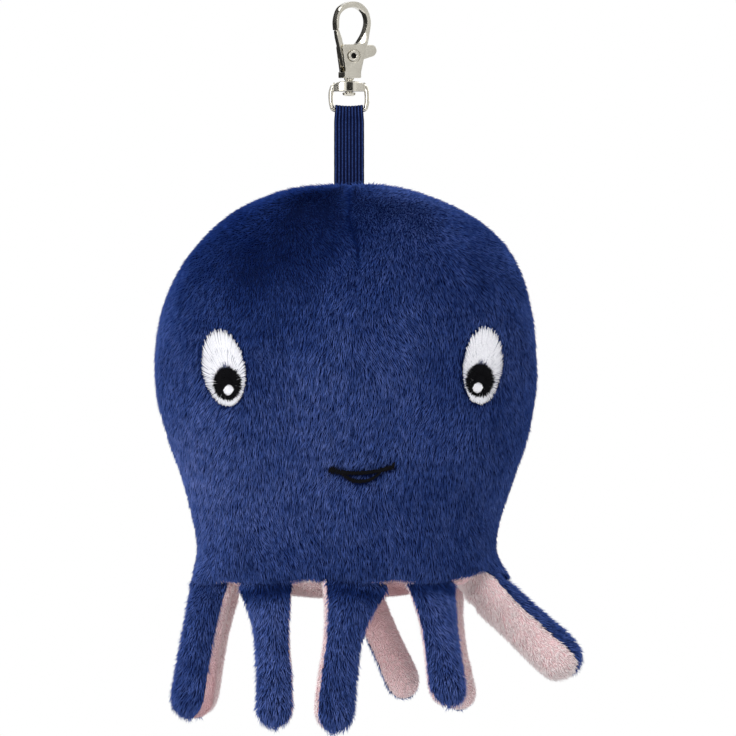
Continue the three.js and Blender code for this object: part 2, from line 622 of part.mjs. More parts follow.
// The room that the round root of each tentacle turns in
function rootSeat(frame) {
  const radius = ROOT_RADIUS * frame.girth + ROOT_CLEARANCE;
  const seat = new THREE.SphereGeometry(1, 16, 10)
    .scale(ROOT_HALF_WIDTH * frame.girth + 2 * ROOT_CLEARANCE, radius, radius);
  return toSolid(seat.applyMatrix4(frame.matrix));
}

const frames = TENTACLES.map(tentacleFrame);
const rootSeats = frames.map(rootSeat).reduce((all, seat) => all.add(seat));

function headPanels() {
  const outside = headBody(0, HEM, HEAD_SIDES, DOME_RINGS, CHEEK_RINGS);
  const inside = headBody(PLUSH_WALL, HEM - 1, INNER_SIDES, 6, 5);
  const shell = outside.subtract(inside).subtract(strapPocket()).subtract(rootSeats);
  const reach = 400;
  const middle = (reach + PANEL_GAP) / 2;
  return {
    front: toGeometry(shell.intersect(box(reach, reach, reach, 0, -middle, HEAD_WIDEST))),
    back: toGeometry(shell.intersect(box(reach, reach, reach, 0, middle, HEAD_WIDEST))),
  };
}

function headStuffing() {
  const bottom = HEM + PLUSH_WALL + SEAT_GAP;
  return toGeometry(headBody(PLUSH_WALL + FILL_GAP, bottom, INNER_SIDES, 6, 5).subtract(strapPocket()));
}

// The underside is one oval panel that the filling pushes out a little.
function basePanel() {
  const top = HEM + PLUSH_WALL;
  const edge = PLUSH_WALL + SEAT_GAP;
  const ring = (share, z) => headRing(HEM, edge, INNER_SIDES).map((p) => new THREE.Vector3(
    HEAD_SIDE + (p.x - HEAD_SIDE) * share, p.y * share, z,
  ));
  const bulge = (share) => HEM - UNDERSIDE_BULGE * (1 - share ** 2) ** 1.5;
  const rings = [ring(1, top), ring(1, HEM), ...[0.8, 0.55, 0.28].map((share) => ring(share, bulge(share)))];
  const middle = (z) => new THREE.Vector3(HEAD_SIDE, 0, z);
  const solid = toSolid(facingOut(loft(rings, middle(top), middle(bulge(0)))));
  return toGeometry(solid.subtract(rootSeats));
}

const onHead = ([right, up]) => [HEAD_SIDE + right * HEAD_HALF_WIDTH, HEAD_WIDEST + up * HEAD_HALF_WIDTH];

// A point on the front of the head, lifted off it along the surface's normal
function onFace(x, z, lift) {
  const depthAt = (px, pz) => {
    const across = Math.min(Math.abs(px - HEAD_SIDE) / headHalfWidth(pz), 0.999);
    return -headHalfDepth(pz) * Math.sqrt(1 - across ** 2);
  };
  const step = 0.5;
  const slopeX = (depthAt(x + step, z) - depthAt(x - step, z)) / (2 * step);
  const slopeZ = (depthAt(x, z + step) - depthAt(x, z - step)) / (2 * step);
  const normal = new THREE.Vector3(slopeX, -1, slopeZ).normalize();
  return new THREE.Vector3(x, depthAt(x, z), z).addScaledVector(normal, lift);
}

// Embroidery: an outline of (x, z) points round a centre, laid on the head and given a thickness
function embroidery(outline, centre, lift, thickness, shares = [1, 0.66, 0.33]) {
  const sheet = (height) => shares.map((share) => outline.map(([x, z]) => onFace(
    centre[0] + (x - centre[0]) * share, centre[1] + (z - centre[1]) * share, height,
  )));
  const rings = [...sheet(lift).reverse(), ...sheet(lift + thickness)];
  return facingOut(loft(rings, onFace(...centre, lift), onFace(...centre, lift + thickness)));
}

function oval([x, z], size, lean, sides = 20) {
  const [width, height] = size.map((share) => share * HEAD_HALF_WIDTH);
  const turn = THREE.MathUtils.degToRad(lean);
  return Array.from({ length: sides }, (_, i) => {
    const angle = (i * 2 * Math.PI) / sides;
    const across = (width / 2) * Math.cos(angle);
    const up = (height / 2) * Math.sin(angle);
    return [
      x + across * Math.cos(turn) + up * Math.sin(turn), z - across * Math.sin(turn) + up * Math.cos(turn),
    ];
  });
}

const WHITE_LIFT = SEAT_GAP;
const PUPIL_LIFT = WHITE_LIFT + THREAD_LIFT + SEAT_GAP;
const GLINT_LIFT = PUPIL_LIFT + THREAD_LIFT + SEAT_GAP;

// The smile is a crescent that is thickest in the middle and pointed at both corners.
function mouth() {
  const [x, z] = onHead(MOUTH_CENTRE);
  const steps = 10;
  const place = (share, offset) => [
    x + share * (MOUTH_WIDTH / 2), z - MOUTH_DROP * (1 - share ** 2) + offset * Math.sqrt(1.04 - share ** 2),
  ];
  const lower = Array.from({ length: steps + 1 }, (_, i) => place(-1 + (2 * i) / steps, -MOUTH_STROKE / 2));
  const upper = Array.from({ length: steps + 1 }, (_, i) => place(1 - (2 * i) / steps, MOUTH_STROKE / 2));
  const sheet = (lift) => [...lower, ...upper].map(([px, pz]) => onFace(px, pz, lift));
  return stripOf(sheet(WHITE_LIFT), sheet(WHITE_LIFT + THREAD_LIFT), steps);
}

// Closes a long strip whose edge runs out along one side and back along the other.
function stripOf(bottom, top, steps) {
  const count = bottom.length;
  const points = [...bottom, ...top];
  const faces = [];
  for (let i = 0; i < count; i += 1) {
    const next = (i + 1) % count;
    faces.push(i, next, count + i, next, count + next, count + i);
  }
  for (let i = 0; i < steps; i += 1) {
    const over = count - 1 - i;
    faces.push(i, over, i + 1, i + 1, over, over - 1);
    faces.push(count + i, count + i + 1, count + over, count + i + 1, count + over - 1, count + over);
  }
  const geometry = new THREE.BufferGeometry();
  geometry.setAttribute('position', new THREE.Float32BufferAttribute(points.flatMap((p) => p.toArray()), 3));
  geometry.setIndex(faces);
  return facingOut(geometry);
}

// Assembly
const charm = new THREE.Group();

function place(parent, name, geometry, finish) {
  const mesh = new THREE.Mesh(geometry, finish);
  mesh.name = name;
  parent.add(mesh);
}

const clasp = new THREE.Group();
clasp.rotation.z = THREE.MathUtils.degToRad(CLASP_TURN);
charm.add(clasp);
place(clasp, 'hook_body', hookBody(), nickel());
place(clasp, 'gate_lever', gateLever(), nickel());
place(clasp, 'pivot_rivet', pivotRivet(), nickel());
place(clasp, 'gate_spring', gateSpring(), steel());
place(charm, 'swivel_ring', swivelRing(), nickel());
place(charm, 'strap', strap(), navyElastic());
place(charm, 'strap_tail', strapTail(), navyElastic());

const panels = headPanels();
place(charm, 'head_front', panels.front, navyPlush());
place(charm, 'head_back', panels.back, navyPlush());
place(charm, 'head_stuffing', headStuffing(), fibreFill());
place(charm, 'base_panel', basePanel(), pinkPlush());

TENTACLES.forEach((tentacle, i) => {
  const group = new THREE.Group();
  group.applyMatrix4(frames[i].matrix);
  const halves = tentaclePanels({ length: tentacle.long * TENTACLE_LENGTH, girth: tentacle.girth });
  place(group, `tentacle_${i + 1}_outer`, halves.outer, navyPlush());
  place(group, `tentacle_${i + 1}_inner`, halves.inner, pinkPlush());
  place(group, `tentacle_${i + 1}_fill`, halves.fill, fibreFill());
  charm.add(group);
});

for (const [side, eye] of Object.entries(EYES)) {
  const [whiteAt, pupilAt, glintAt] = [eye.at, eye.pupil, eye.glint].map(onHead);
  const white = embroidery(oval(whiteAt, eye.size, eye.lean), whiteAt, WHITE_LIFT, THREAD_LIFT);
  const pupilEdge = oval(pupilAt, PUPIL_SIZE, eye.lean, 14);
  const pupil = embroidery(pupilEdge, pupilAt, PUPIL_LIFT, THREAD_LIFT, [1, 0.5]);
  const glint = embroidery(oval(glintAt, GLINT_SIZE, 0, 8), glintAt, GLINT_LIFT, THREAD_LIFT, [1]);
  place(charm, `eye_white_${side}`, white, whiteThread());
  place(charm, `pupil_${side}`, pupil, blackThread());
  place(charm, `glint_${side}`, glint, whiteThread());
}
place(charm, 'mouth', mouth(), blackThread());

export default charm;
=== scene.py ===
import bpy
import bmesh
import math
import numpy as np
from contextlib import contextmanager
from mathutils import Matrix, Vector, noise


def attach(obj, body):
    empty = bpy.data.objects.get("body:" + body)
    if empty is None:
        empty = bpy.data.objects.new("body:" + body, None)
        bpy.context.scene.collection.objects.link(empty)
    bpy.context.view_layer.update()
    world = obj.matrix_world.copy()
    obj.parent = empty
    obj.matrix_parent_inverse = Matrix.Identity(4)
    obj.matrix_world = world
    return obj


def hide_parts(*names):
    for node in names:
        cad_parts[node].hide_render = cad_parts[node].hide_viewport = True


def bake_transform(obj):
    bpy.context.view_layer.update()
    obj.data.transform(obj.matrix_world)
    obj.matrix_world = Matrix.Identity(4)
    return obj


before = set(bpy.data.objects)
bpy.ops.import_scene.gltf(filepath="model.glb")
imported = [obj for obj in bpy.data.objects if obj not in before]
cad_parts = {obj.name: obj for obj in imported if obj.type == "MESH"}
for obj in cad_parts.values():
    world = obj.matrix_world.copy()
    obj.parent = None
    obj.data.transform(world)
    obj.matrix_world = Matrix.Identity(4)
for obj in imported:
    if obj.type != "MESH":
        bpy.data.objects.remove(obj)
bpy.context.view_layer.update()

# The hook
# One zinc casting: the open hook, the two cheeks round the gate, the neck and the peened stem.
# It is barrel-polished, so its cast edges are soft, and it is bright nickel plated.
HOOK_EDGE = 0.00034
CAST_EDGES_FROM = 28.0


def join(tree, value, socket):
    if isinstance(value, bpy.types.NodeSocket):
        tree.links.new(value, socket)
    else:
        socket.default_value = value


def fit(tree, node, **values):
    """Sets a node's named inputs, or joins them to other nodes."""
    for key, value in values.items():
        join(tree, value, node.inputs[key.replace("_", " ")])


def add(tree, kind, settings=None, **values):
    made = tree.nodes.new(kind)
    for key, value in (settings or {}).items():
        setattr(made, key, value)
    fit(tree, made, **values)
    return made


def maths(tree, operation, *terms, kind="ShaderNodeMath"):
    made = add(tree, kind, {"operation": operation})
    for term, socket in zip(terms, made.inputs):
        join(tree, term, socket)
    return made.outputs[0]


def new_finish(name, colour, roughness, metallic=0.0):
    finish = bpy.data.materials.new(name)
    finish.use_nodes = True
    finish.diffuse_color = (*colour, 1.0)
    tree = finish.node_tree
    shader = tree.nodes["Principled BSDF"]
    fit(tree, shader, Base_Color=(*colour, 1.0), Roughness=roughness, Metallic=metallic)
    return finish, tree, shader


def grain(tree, scale, detail=2.0, roughness=0.5, place=None):
    if place is None:
        place = add(tree, "ShaderNodeTexCoord").outputs["Object"]
    return add(tree, "ShaderNodeTexNoise", Vector=place, Scale=scale, Detail=detail, Roughness=roughness).outputs[0]


def between(tree, factor, low, high, from_low=0.3, from_high=0.7):
    return add(tree, "ShaderNodeMapRange", Value=factor, From_Min=from_low, From_Max=from_high,
               To_Min=low, To_Max=high).outputs["Result"]


def shades(tree, factor, stops):
    ramp = add(tree, "ShaderNodeValToRGB", Fac=factor)
    while len(ramp.color_ramp.elements) < len(stops):
        ramp.color_ramp.elements.new(0.5)
    for element, (place, colour) in zip(ramp.color_ramp.elements, stops):
        element.position, element.color = place, (*colour, 1.0)
    return ramp.outputs["Color"]


def bumps(tree, shader, height, depth, strength):
    bump = add(tree, "ShaderNodeBump", Height=height, Strength=strength, Distance=depth)
    fit(tree, shader, Normal=bump.outputs["Normal"])


def plating(name, light, dark, smooth, dull):
    finish, tree, shader = new_finish(name, light, smooth, 1.0)
    fit(tree, shader, Base_Color=shades(tree, grain(tree, 260.0, 3.0), [(0.35, dark), (0.65, light)]),
        Roughness=between(tree, grain(tree, 900.0, 5.0, 0.65), smooth, dull))
    bumps(tree, shader, grain(tree, 420.0, 4.0, 0.55), 0.00004, 0.35)
    return finish


nickel = plating("nickel plating", (0.66, 0.63, 0.55), (0.59, 0.56, 0.485), 0.06, 0.17)


def painted(piece, finish):
    piece.data.materials.clear()
    piece.data.materials.append(finish)


def linked(name, mesh, finish=None):
    piece = bpy.data.objects.new(name, mesh)
    bpy.context.scene.collection.objects.link(piece)
    if finish is not None:
        painted(piece, finish)
    return piece


def settled(piece):
    """Keeps the mesh that a piece's modifiers make."""
    bpy.context.view_layer.update()
    graph = bpy.context.evaluated_depsgraph_get()
    made = bpy.data.meshes.new_from_object(piece.evaluated_get(graph), depsgraph=graph)
    piece.modifiers.clear()
    old, piece.data = piece.data, made
    bpy.data.meshes.remove(old)
    return piece


@contextmanager
def reworked(mesh, *sources):
    """Opens a mesh, or others to fill it from, for work on its faces, and writes it back."""
    shape = bmesh.new()
    for source in sources or (mesh,):
        shape.from_mesh(source)
    yield shape
    shape.to_mesh(mesh)
    shape.free()


def softened(piece, edge, angle=CAST_EDGES_FROM):
    bevel = piece.modifiers.new("cast edge", "BEVEL")
    bevel.width, bevel.segments, bevel.angle_limit = edge, 3, math.radians(angle)
    bevel.limit_method, bevel.use_clamp_overlap, bevel.harden_normals = "ANGLE", True, False
    settled(piece)
    piece.data.shade_smooth()
    piece.data.set_sharp_from_angle(angle=math.radians(40.0))
    return piece


def cast_copy(name, node, edge):
    mesh = bpy.data.meshes.new(name)
    with reworked(mesh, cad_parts[node].data) as shape:
        bmesh.ops.remove_doubles(shape, verts=shape.verts, dist=2e-6)
        bmesh.ops.dissolve_limit(shape, angle_limit=math.radians(0.6), verts=shape.verts, edges=shape.edges)
    return softened(linked(name, mesh, nickel), edge)


def belongs(piece, body, slot, *nodes):
    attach(piece, body)
    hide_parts(*nodes)


hook = cast_copy("clasp_hook_casting", "hook_body", HOOK_EDGE)
belongs(hook, "clasp_hook", "nickel", "hook_body")

# The gate
# A cast lever between the cheeks. Its long arm closes the hook's mouth and its tab is pressed by the thumb.
# It is plated like the hook.
GATE_EDGE = 0.00018
gate = cast_copy("clasp_gate_lever", "gate_lever", GATE_EDGE)
belongs(gate, "gate", "nickel", "gate_lever")

# The rivet and the gate's spring
# A hollow steel rivet, nickel plated, with a rim rolled down into the recess of each cheek, and the small
# coil of spring wire round it that closes the gate.
RIVET_AT = (0.0005, -0.0162)
RIVET_BORE, RIVET_BARREL, RIVET_RIM = 0.00092, 0.00145, 0.0019
RIM_AT, RIM_HEIGHT = 0.00235, 0.00055
COIL_RADIUS, COIL_TURNS, COIL_STEPS, SPRING_WIRE = 0.0018, 2, 60, 0.00019
TO_CLASP = Matrix.Rotation(math.radians(24.0), 4, "Z")


def smooth_mesh(name, points, faces, sharp=40.0):
    """A mesh with all its faces outwards, smooth except where it turns more sharply than the angle."""
    mesh = bpy.data.meshes.new(name)
    mesh.from_pydata([tuple(p) for p in points], [], faces)
    mesh.update()
    with reworked(mesh) as shape:
        bmesh.ops.remove_doubles(shape, verts=shape.verts, dist=1e-7)
        bmesh.ops.recalc_face_normals(shape, faces=shape.faces)
    mesh.shade_smooth()
    if sharp < 180.0:
        mesh.set_sharp_from_angle(angle=math.radians(sharp))
    return mesh


def circle(sides):
    return [2 * math.pi * i / sides for i in range(sides)]


def hoops(count, sides, closed=False):
    """The faces between rings of points, each ring joined to the next."""
    return [(j * sides + i, j * sides + (i + 1) % sides, k * sides + (i + 1) % sides, k * sides + i)
            for j, k in zip(range(count), [*range(1, count)] + [0] * closed) for i in range(sides)]


def fanned(first, sides, tip):
    """The faces that close a ring of points with one point."""
    return [(first + i, first + (i + 1) % sides, tip) for i in range(sides)]


def turned(name, profile, centre, sides=48):
    points = [(centre[0] + r * math.cos(a), y, centre[1] + r * math.sin(a)) for r, y in profile for a in circle(sides)]
    return smooth_mesh(name, points, hoops(len(profile), sides, closed=True), 50.0)


def rolled_rim():
    """The rim's section, from the bore over the roll to the barrel: away from the axis, and along it."""
    rise = [(RIVET_BORE + RIM_HEIGHT * 0.55 * (1 - math.cos(a)),
             RIM_AT + RIM_HEIGHT * 0.45 + RIM_HEIGHT * 0.55 * math.sin(a)) for a in np.linspace(0.0, math.pi / 2, 5)]
    fall = [(RIVET_RIM - RIM_HEIGHT * 0.6 * (1 - math.sin(a)),
             RIM_AT + RIM_HEIGHT - RIM_HEIGHT * 0.6 * (1 - math.cos(a))) for a in np.linspace(0.0, math.pi / 2, 6)]
    return rise + fall + [(RIVET_RIM, RIM_AT), (RIVET_BARREL, RIM_AT)]


rim_half = [(0.0, 0.0011), (0.00088, 0.0012)] + rolled_rim()
rivet_profile = rim_half + [(r, -y) for r, y in reversed(rim_half)]
rivet = linked("clasp_gate_rivet", turned("rivet", rivet_profile, RIVET_AT), nickel)
# The faces inside the bore get a second plating, dark and duller.
rivet.data.materials.append(plating("darkened rivet bore", (0.09, 0.085, 0.08), (0.05, 0.047, 0.043), 0.45, 0.7))
for face in rivet.data.polygons:
    from_axis = math.hypot(face.center.x - RIVET_AT[0], face.center.z - RIVET_AT[1])
    face.material_index = int(from_axis < 0.00095)
rivet.data.transform(TO_CLASP)
belongs(rivet, "clasp_hook", "nickel", "pivot_rivet")


def swept(points, radii, sides):
    """A closed tube along the points, round or oval, ending in flat caps."""
    points = [Vector(p) for p in points]
    rings = []
    for k, (point, (a, b)) in enumerate(zip(points, radii)):
        along = (points[min(k + 1, len(points) - 1)] - points[max(k - 1, 0)]).normalized()
        first = Vector((0, 1, 0))
        first = (first - along * first.dot(along)).normalized()
        second = along.cross(first)
        rings += [point + first * (a * math.cos(turn)) + second * (b * math.sin(turn)) for turn in circle(sides)]
    last = (len(points) - 1) * sides
    return rings, hoops(len(points), sides) + [tuple(range(sides - 1, -1, -1)), tuple(range(last, last + sides))]


coil = []
for step in range(COIL_STEPS + 1):
    turn = 2 * COIL_TURNS * math.pi * step / COIL_STEPS
    coil.append((RIVET_AT[0] + COIL_RADIUS * math.cos(turn), -0.00005 + 0.0012 * step / COIL_STEPS,
                 RIVET_AT[1] + COIL_RADIUS * math.sin(turn)))
spring = linked("clasp_gate_spring", smooth_mesh("spring", *swept(coil, [(SPRING_WIRE, SPRING_WIRE)] * len(coil), 10)),
                plating("spring wire", (0.50, 0.49, 0.46), (0.42, 0.41, 0.385), 0.2, 0.38))
spring.data.transform(TO_CLASP)
belongs(spring, "clasp_hook", "spring_steel", "gate_spring")

# The swivel ring
# A cast D-ring whose thick top bar turns on the hook's stem. Its wires are oval, fullest at the sides,
# and draw in to the straight lower bar that carries the strap. It is plated like the hook.
BAR_TOP, BAR_BOTTOM = -0.0246, -0.0281
LOWER_BAR = -0.0342
BAR_HALF_LENGTH = 0.0055
STEM_BORE = 0.0016


def bezier(a, b, c, d, steps):
    a, b, c, d = (np.array(p, float) for p in (a, b, c, d))
    for t in np.linspace(0.0, 1.0, steps, endpoint=False):
        yield a * (1 - t) ** 3 + 3 * b * t * (1 - t) ** 2 + 3 * c * t * t * (1 - t) + d * t ** 3


foot = LOWER_BAR + 0.001
half_wire = list(bezier((0.0046, BAR_TOP - 0.0011), (0.00625, BAR_TOP - 0.0017),
                        (0.0063, foot + 0.0024), (0.00565, foot), 22))
half_wire += list(bezier((0.00565, foot), (0.0056, foot - 0.0006), (0.0053, LOWER_BAR),
                         (0.00465, LOWER_BAR), 8))
half_wire.append(np.array((0.00465, LOWER_BAR)))
wire_path = [(-x, 0.0, z) for x, z in half_wire] + [(x, 0.0, z) for x, z in reversed(half_wire)]
wire_radii = []
for x, y, z in wire_path:
    side = max(0.0, 1 - abs(z - (BAR_TOP - 0.004)) / 0.006)
    wire_radii.append((0.00078 + 0.0001 * side, 0.00072 + 0.00016 * side))
ring = linked("clasp_swivel_ring", smooth_mesh("swivel ring", *swept(wire_path, wire_radii, 20), 60.0), nickel)


def top_bar():
    ends = np.linspace(0.0, 1.0, 25)
    plan = [(x, -0.0009 - 0.0014 * (1 - (x / BAR_HALF_LENGTH) ** 2) ** 0.9)
            for x in (-BAR_HALF_LENGTH + 2 * BAR_HALF_LENGTH * t for t in ends)]
    outline = plan + [(x, -y) for x, y in reversed(plan)]
    count, levels = len(outline), (0.0, 0.25, 0.5, 0.75, 1.0)
    points = [(x, y, BAR_BOTTOM + (BAR_TOP - 0.00115 * abs(x / BAR_HALF_LENGTH) ** 3 - BAR_BOTTOM) * level)
              for level in levels for x, y in outline]
    faces = hoops(len(levels), count)
    for base in (0, (len(levels) - 1) * count):
        faces += [(base + i, base + i + 1, base + count - 2 - i, base + count - 1 - i) for i in range(len(plan) - 1)]
    return smooth_mesh("top bar", points, faces)


bar = softened(linked("top bar", top_bar(), nickel), 0.0003, 45.0)
bore_shape = swept([(0, 0, BAR_TOP + 0.002), (0, 0, BAR_BOTTOM - 0.002)], [(STEM_BORE, STEM_BORE)] * 2, 40)
bore = linked("stem bore", smooth_mesh("stem bore", *bore_shape))
for part, how in ((bar, "UNION"), (bore, "DIFFERENCE")):
    cut = ring.modifiers.new(part.name, "BOOLEAN")
    cut.operation, cut.object, cut.solver = how, part, "EXACT"
settled(ring)
for part in (bar, bore):
    bpy.data.objects.remove(part)
ring.data.shade_smooth()
ring.data.set_sharp_from_angle(angle=math.radians(38.0))
painted(ring, nickel)
belongs(ring, "ring", "nickel", "swivel_ring")

# The strap
# Navy ribbed elastic, 10 mm wide: nine covered rubber cords woven into one flat band. It is folded over the
# ring's lower bar, and both ends are sewn into the seam at the top of the head.
STRAP_HALF, STRAP_FOLD_HALF = 0.005, 0.00468
STRAP_LAYER, LAYERS_APART, FOLD_RADIUS = 0.00078, 0.00049, 0.00145
RIBS, WEFT_PITCH = 9, 0.00062
STRAP_ROOT, STRAP_TAIL = -0.059, -0.0676


def strap_line():
    """The middle of the folded band, up one layer, round the bar and down the other."""
    near, fold = LAYERS_APART, FOLD_RADIUS
    line = [(-near, z) for z in np.arange(STRAP_TAIL, LOWER_BAR - 0.0053, 0.0002)]
    line += [tuple(p) for p in bezier((-near, LOWER_BAR - 0.0052), (-near, LOWER_BAR - 0.003),
                                      (-fold, LOWER_BAR - 0.0022), (-fold, LOWER_BAR), 24)]
    line += [(-fold * math.cos(a), LOWER_BAR + fold * math.sin(a))
             for a in np.linspace(0.0, math.pi, 24, endpoint=False)]
    line += [tuple(p) for p in bezier((fold, LOWER_BAR), (fold, LOWER_BAR - 0.0022),
                                      (near, LOWER_BAR - 0.003), (near, LOWER_BAR - 0.0052), 24)]
    line += [(near, z) for z in np.arange(LOWER_BAR - 0.0053, STRAP_TAIL - 1e-6, -0.0002)]
    return np.array(line)


def bell(values, width, at=0.0):
    """1 at one place, falling softly to 0 on both sides."""
    return np.exp(-((values - at) / width) ** 2)


def elastic_band():
    line = strap_line()
    step = np.gradient(line, axis=0)
    step /= np.linalg.norm(step, axis=1)[:, None]
    run = np.concatenate([[0.0], np.cumsum(np.linalg.norm(np.diff(line, axis=0), axis=1))])[:, None]
    across = np.linspace(-1.0, 1.0, RIBS * 8 + 1)
    near_fold = bell(line[:, 1] - LOWER_BAR, 0.0032, 0.0008)[:, None]
    half = STRAP_HALF + (STRAP_FOLD_HALF - STRAP_HALF) * near_fold
    half *= 1 + 0.006 * np.sin(run * 700.0)
    rib = np.abs(np.cos(across * RIBS * math.pi / 2)) ** 0.55
    rib[np.abs(across) > 1 - 0.45 / RIBS] *= 0.8
    weft = 0.5 + 0.5 * np.cos(2 * math.pi * run / WEFT_PITCH + math.pi * np.floor((across + 1) * RIBS / 2))
    thick = STRAP_LAYER / 2 * (0.62 + 0.38 * rib) + 0.00003 * weft * rib
    thick = thick * np.sqrt(np.clip(1 - (np.abs(across) ** 18), 0.02, 1))
    dip = -0.00045 * (1 - across ** 2) * near_fold
    points = []
    for side in (1, -1):
        y = line[:, :1] - step[:, 1:] * (side * thick)
        z = line[:, 1:] + step[:, :1] * (side * thick) + dip
        points.append(np.stack([half * across, y, z], axis=2).reshape(-1, 3))
    along = np.stack(np.broadcast_arrays(across * STRAP_HALF, run), axis=2).reshape(-1, 2)
    rows, columns = len(line), len(across)
    other, faces = rows * columns, []
    for i in range(rows - 1):
        for a in range(i * columns, (i + 1) * columns - 1):
            quad = (a, a + 1, a + 1 + columns, a + columns)
            faces += [quad, tuple(other + corner for corner in reversed(quad))]
        for a in (i * columns, (i + 1) * columns - 1):
            quad = (other + a, a, a + columns, other + a + columns)
            faces.append(quad if a == i * columns else quad[::-1])
    for a in range(columns - 1):
        end = other - columns + a
        faces += [(a + 1, a, other + a, other + a + 1), (end, end + 1, other + end + 1, other + end)]
    mesh = bpy.data.meshes.new("elastic band")
    mesh.from_pydata(np.concatenate(points).tolist(), [], faces)
    corner = np.zeros(len(mesh.loops), np.int32)
    mesh.loops.foreach_get("vertex_index", corner)
    layer = mesh.uv_layers.new(name="along")
    layer.data.foreach_set("uv", np.concatenate([along, along])[corner].astype(np.float32).ravel())
    with reworked(mesh) as shape:
        bmesh.ops.recalc_face_normals(shape, faces=shape.faces)
    mesh.shade_smooth()
    return mesh


def covered_elastic():
    finish, tree, shader = new_finish("navy ribbed elastic", (0.016, 0.03, 0.115), 0.75)
    along = add(tree, "ShaderNodeUVMap", {"uv_map": "along"}).outputs["UV"]
    across = add(tree, "ShaderNodeSeparateXYZ", Vector=along).outputs["X"]
    rib = maths(tree, "ABSOLUTE", maths(tree, "COSINE",
                                        maths(tree, "MULTIPLY", across, RIBS * math.pi / (2 * STRAP_HALF))))
    yarn = add(tree, "ShaderNodeTexWave", {"wave_type": "BANDS", "bands_direction": "Y"}, Vector=along,
               Scale=0.5 * math.pi / (WEFT_PITCH * 10), Distortion=2.0, Detail=2.0)
    fuzz = grain(tree, 2600.0, 3.0, 0.6)
    # The rib crests are painted lighter and the grooves between them darker, as painted highlight and painted shade,
    # over random fuzz.
    height = between(tree, maths(tree, "MULTIPLY_ADD", fuzz, 0.55, rib), 0.0, 1.0, 0.7, 1.4)
    fit(tree, shader, Roughness=between(tree, fuzz, 0.62, 0.88), Specular_IOR_Level=0.05, Base_Color=shades(
        tree, height, [(0.15, (0.001, 0.002, 0.016)), (0.6, (0.0036, 0.0096, 0.05)), (1.0, (0.028, 0.055, 0.18))]))
    bumps(tree, shader, yarn.outputs["Color"], 0.00006, 0.6)
    return finish


strap = linked("strap_ribbed_elastic", elastic_band(), covered_elastic())
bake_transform(strap)
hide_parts("strap", "strap_tail")

# The head
# Two panels of navy plush, front and back, sewn together round the sides and over the top, with a short dart
# above the face and a rolled seam along the hem. The panels are stuffed tight with fibre.
HEAD_SIDE = -0.001
HEAD_HALF_WIDTH, NECK_HALF_WIDTH = 0.0636, 0.05
HEAD_TOP, DOME_HEIGHT, DOME_POWER = -0.0598, 0.0624, 2.3
HEAD_WIDEST = HEAD_TOP - DOME_HEIGHT
HEM = HEAD_WIDEST - 0.0692
NECKING = 0.059
DEPTH_RATIOS = (0.71, 0.66)
HEAD_COLUMNS = 120
SKIN_INSET, SKIN_WALL = 0.0007, 0.0012
STIFF_STITCHING = ((-0.0415, -0.121, 0.0078, 0.0133), (0.0441, -0.1205, 0.0072, 0.0136),
                   (0.0042, -0.1555, 0.0125, 0.0052))
CLOTH_STEPS = 20


def half_width(z, inset=0.0):
    z = np.asarray(z, float)
    rise = np.clip((z - HEAD_WIDEST) / (DOME_HEIGHT - inset), 0.0, 1.0)
    dome = (HEAD_HALF_WIDTH - inset) * (1 - rise ** DOME_POWER) ** (1 / DOME_POWER)
    fall = np.clip((HEAD_WIDEST - z) / NECKING, 0.0, 1.0)
    drawn = NECK_HALF_WIDTH - inset
    cheeks = drawn + (HEAD_HALF_WIDTH - inset - drawn) * 0.5 * (1 + np.cos(math.pi * fall))
    return np.where(z >= HEAD_WIDEST, dome, cheeks)


def half_depth(z, inset=0.0):
    fall = np.clip((HEAD_WIDEST - np.asarray(z, float)) / NECKING, 0.0, 1.0)
    ratio = DEPTH_RATIOS[0] + (DEPTH_RATIOS[1] - DEPTH_RATIOS[0]) * fall
    width = half_width(np.minimum(z, HEAD_WIDEST))
    return half_width(z, inset) * (width * ratio - inset) / (width - inset)


def head_surface(columns, dome_rows, cheek_rows, inset, bottom, rim):
    """The head's form: its crown, then columns of points round it down to a rolled rim."""
    levels = [(HEAD_WIDEST + (DOME_HEIGHT - inset) * math.cos(a) ** (2 / DOME_POWER), 0.0)
              for a in np.linspace(0.0, math.pi / 2, dome_rows + 1)[1:]]
    levels += [(z, 0.0) for z in np.linspace(HEAD_WIDEST, bottom, cheek_rows + 1)[1:]]
    levels += [(bottom + drop, inward) for inward, drop in rim]
    points = [(HEAD_SIDE, 0.0, HEAD_TOP - inset)]
    turns = np.linspace(0.0, 2 * math.pi, columns, endpoint=False)
    for z, inward in levels:
        level = max(min(z, HEAD_TOP - inset - 1e-6), bottom)
        wide, deep = float(half_width(level, inset)) - inward, float(half_depth(level, inset)) - inward
        points += [(HEAD_SIDE + wide * math.cos(a), deep * math.sin(a), z) for a in turns]
    faces = [(0, 1 + i, 1 + (i + 1) % columns) for i in range(columns)]
    for k in range(len(levels) - 1):
        a, b = 1 + k * columns, 1 + (k + 1) * columns
        faces += [(a + i, b + i, b + (i + 1) % columns, a + (i + 1) % columns) for i in range(columns)]
    return points, faces


def closed_below(points, faces, columns, end):
    """Closes the form's open bottom with one more point."""
    last, tip = len(points) - columns, len(points)
    return points + [end], faces + [(last + i, tip, last + (i + 1) % columns) for i in range(columns)]


# The hem spreads over the roots of the outer tentacles and arches up beside them: degrees round the hem
# from the front, by how much, and over how many degrees.
HEM_SPREADS = [(-80, 0.0021, 16), (92, 0.0060, 17), (41, 0.0004, 12), (176, 0.0006, 14), (-114, 0.0006, 12)]
HEM_ARCHES = [(70, 0.0042, 14), (50, 0.0014, 9), (-57, 0.0014, 10), (-16, 0.0013, 8), (21, 0.0010, 7),
              (112, 0.001, 10)]
HEM_ROLL = [(0.0004, -0.0007), (0.0012, -0.0012), (0.0022, -0.0013), (0.0031, -0.0014)]
HEM_EDGE = HEM + 0.0014
HEM_SHAPED = 0.012


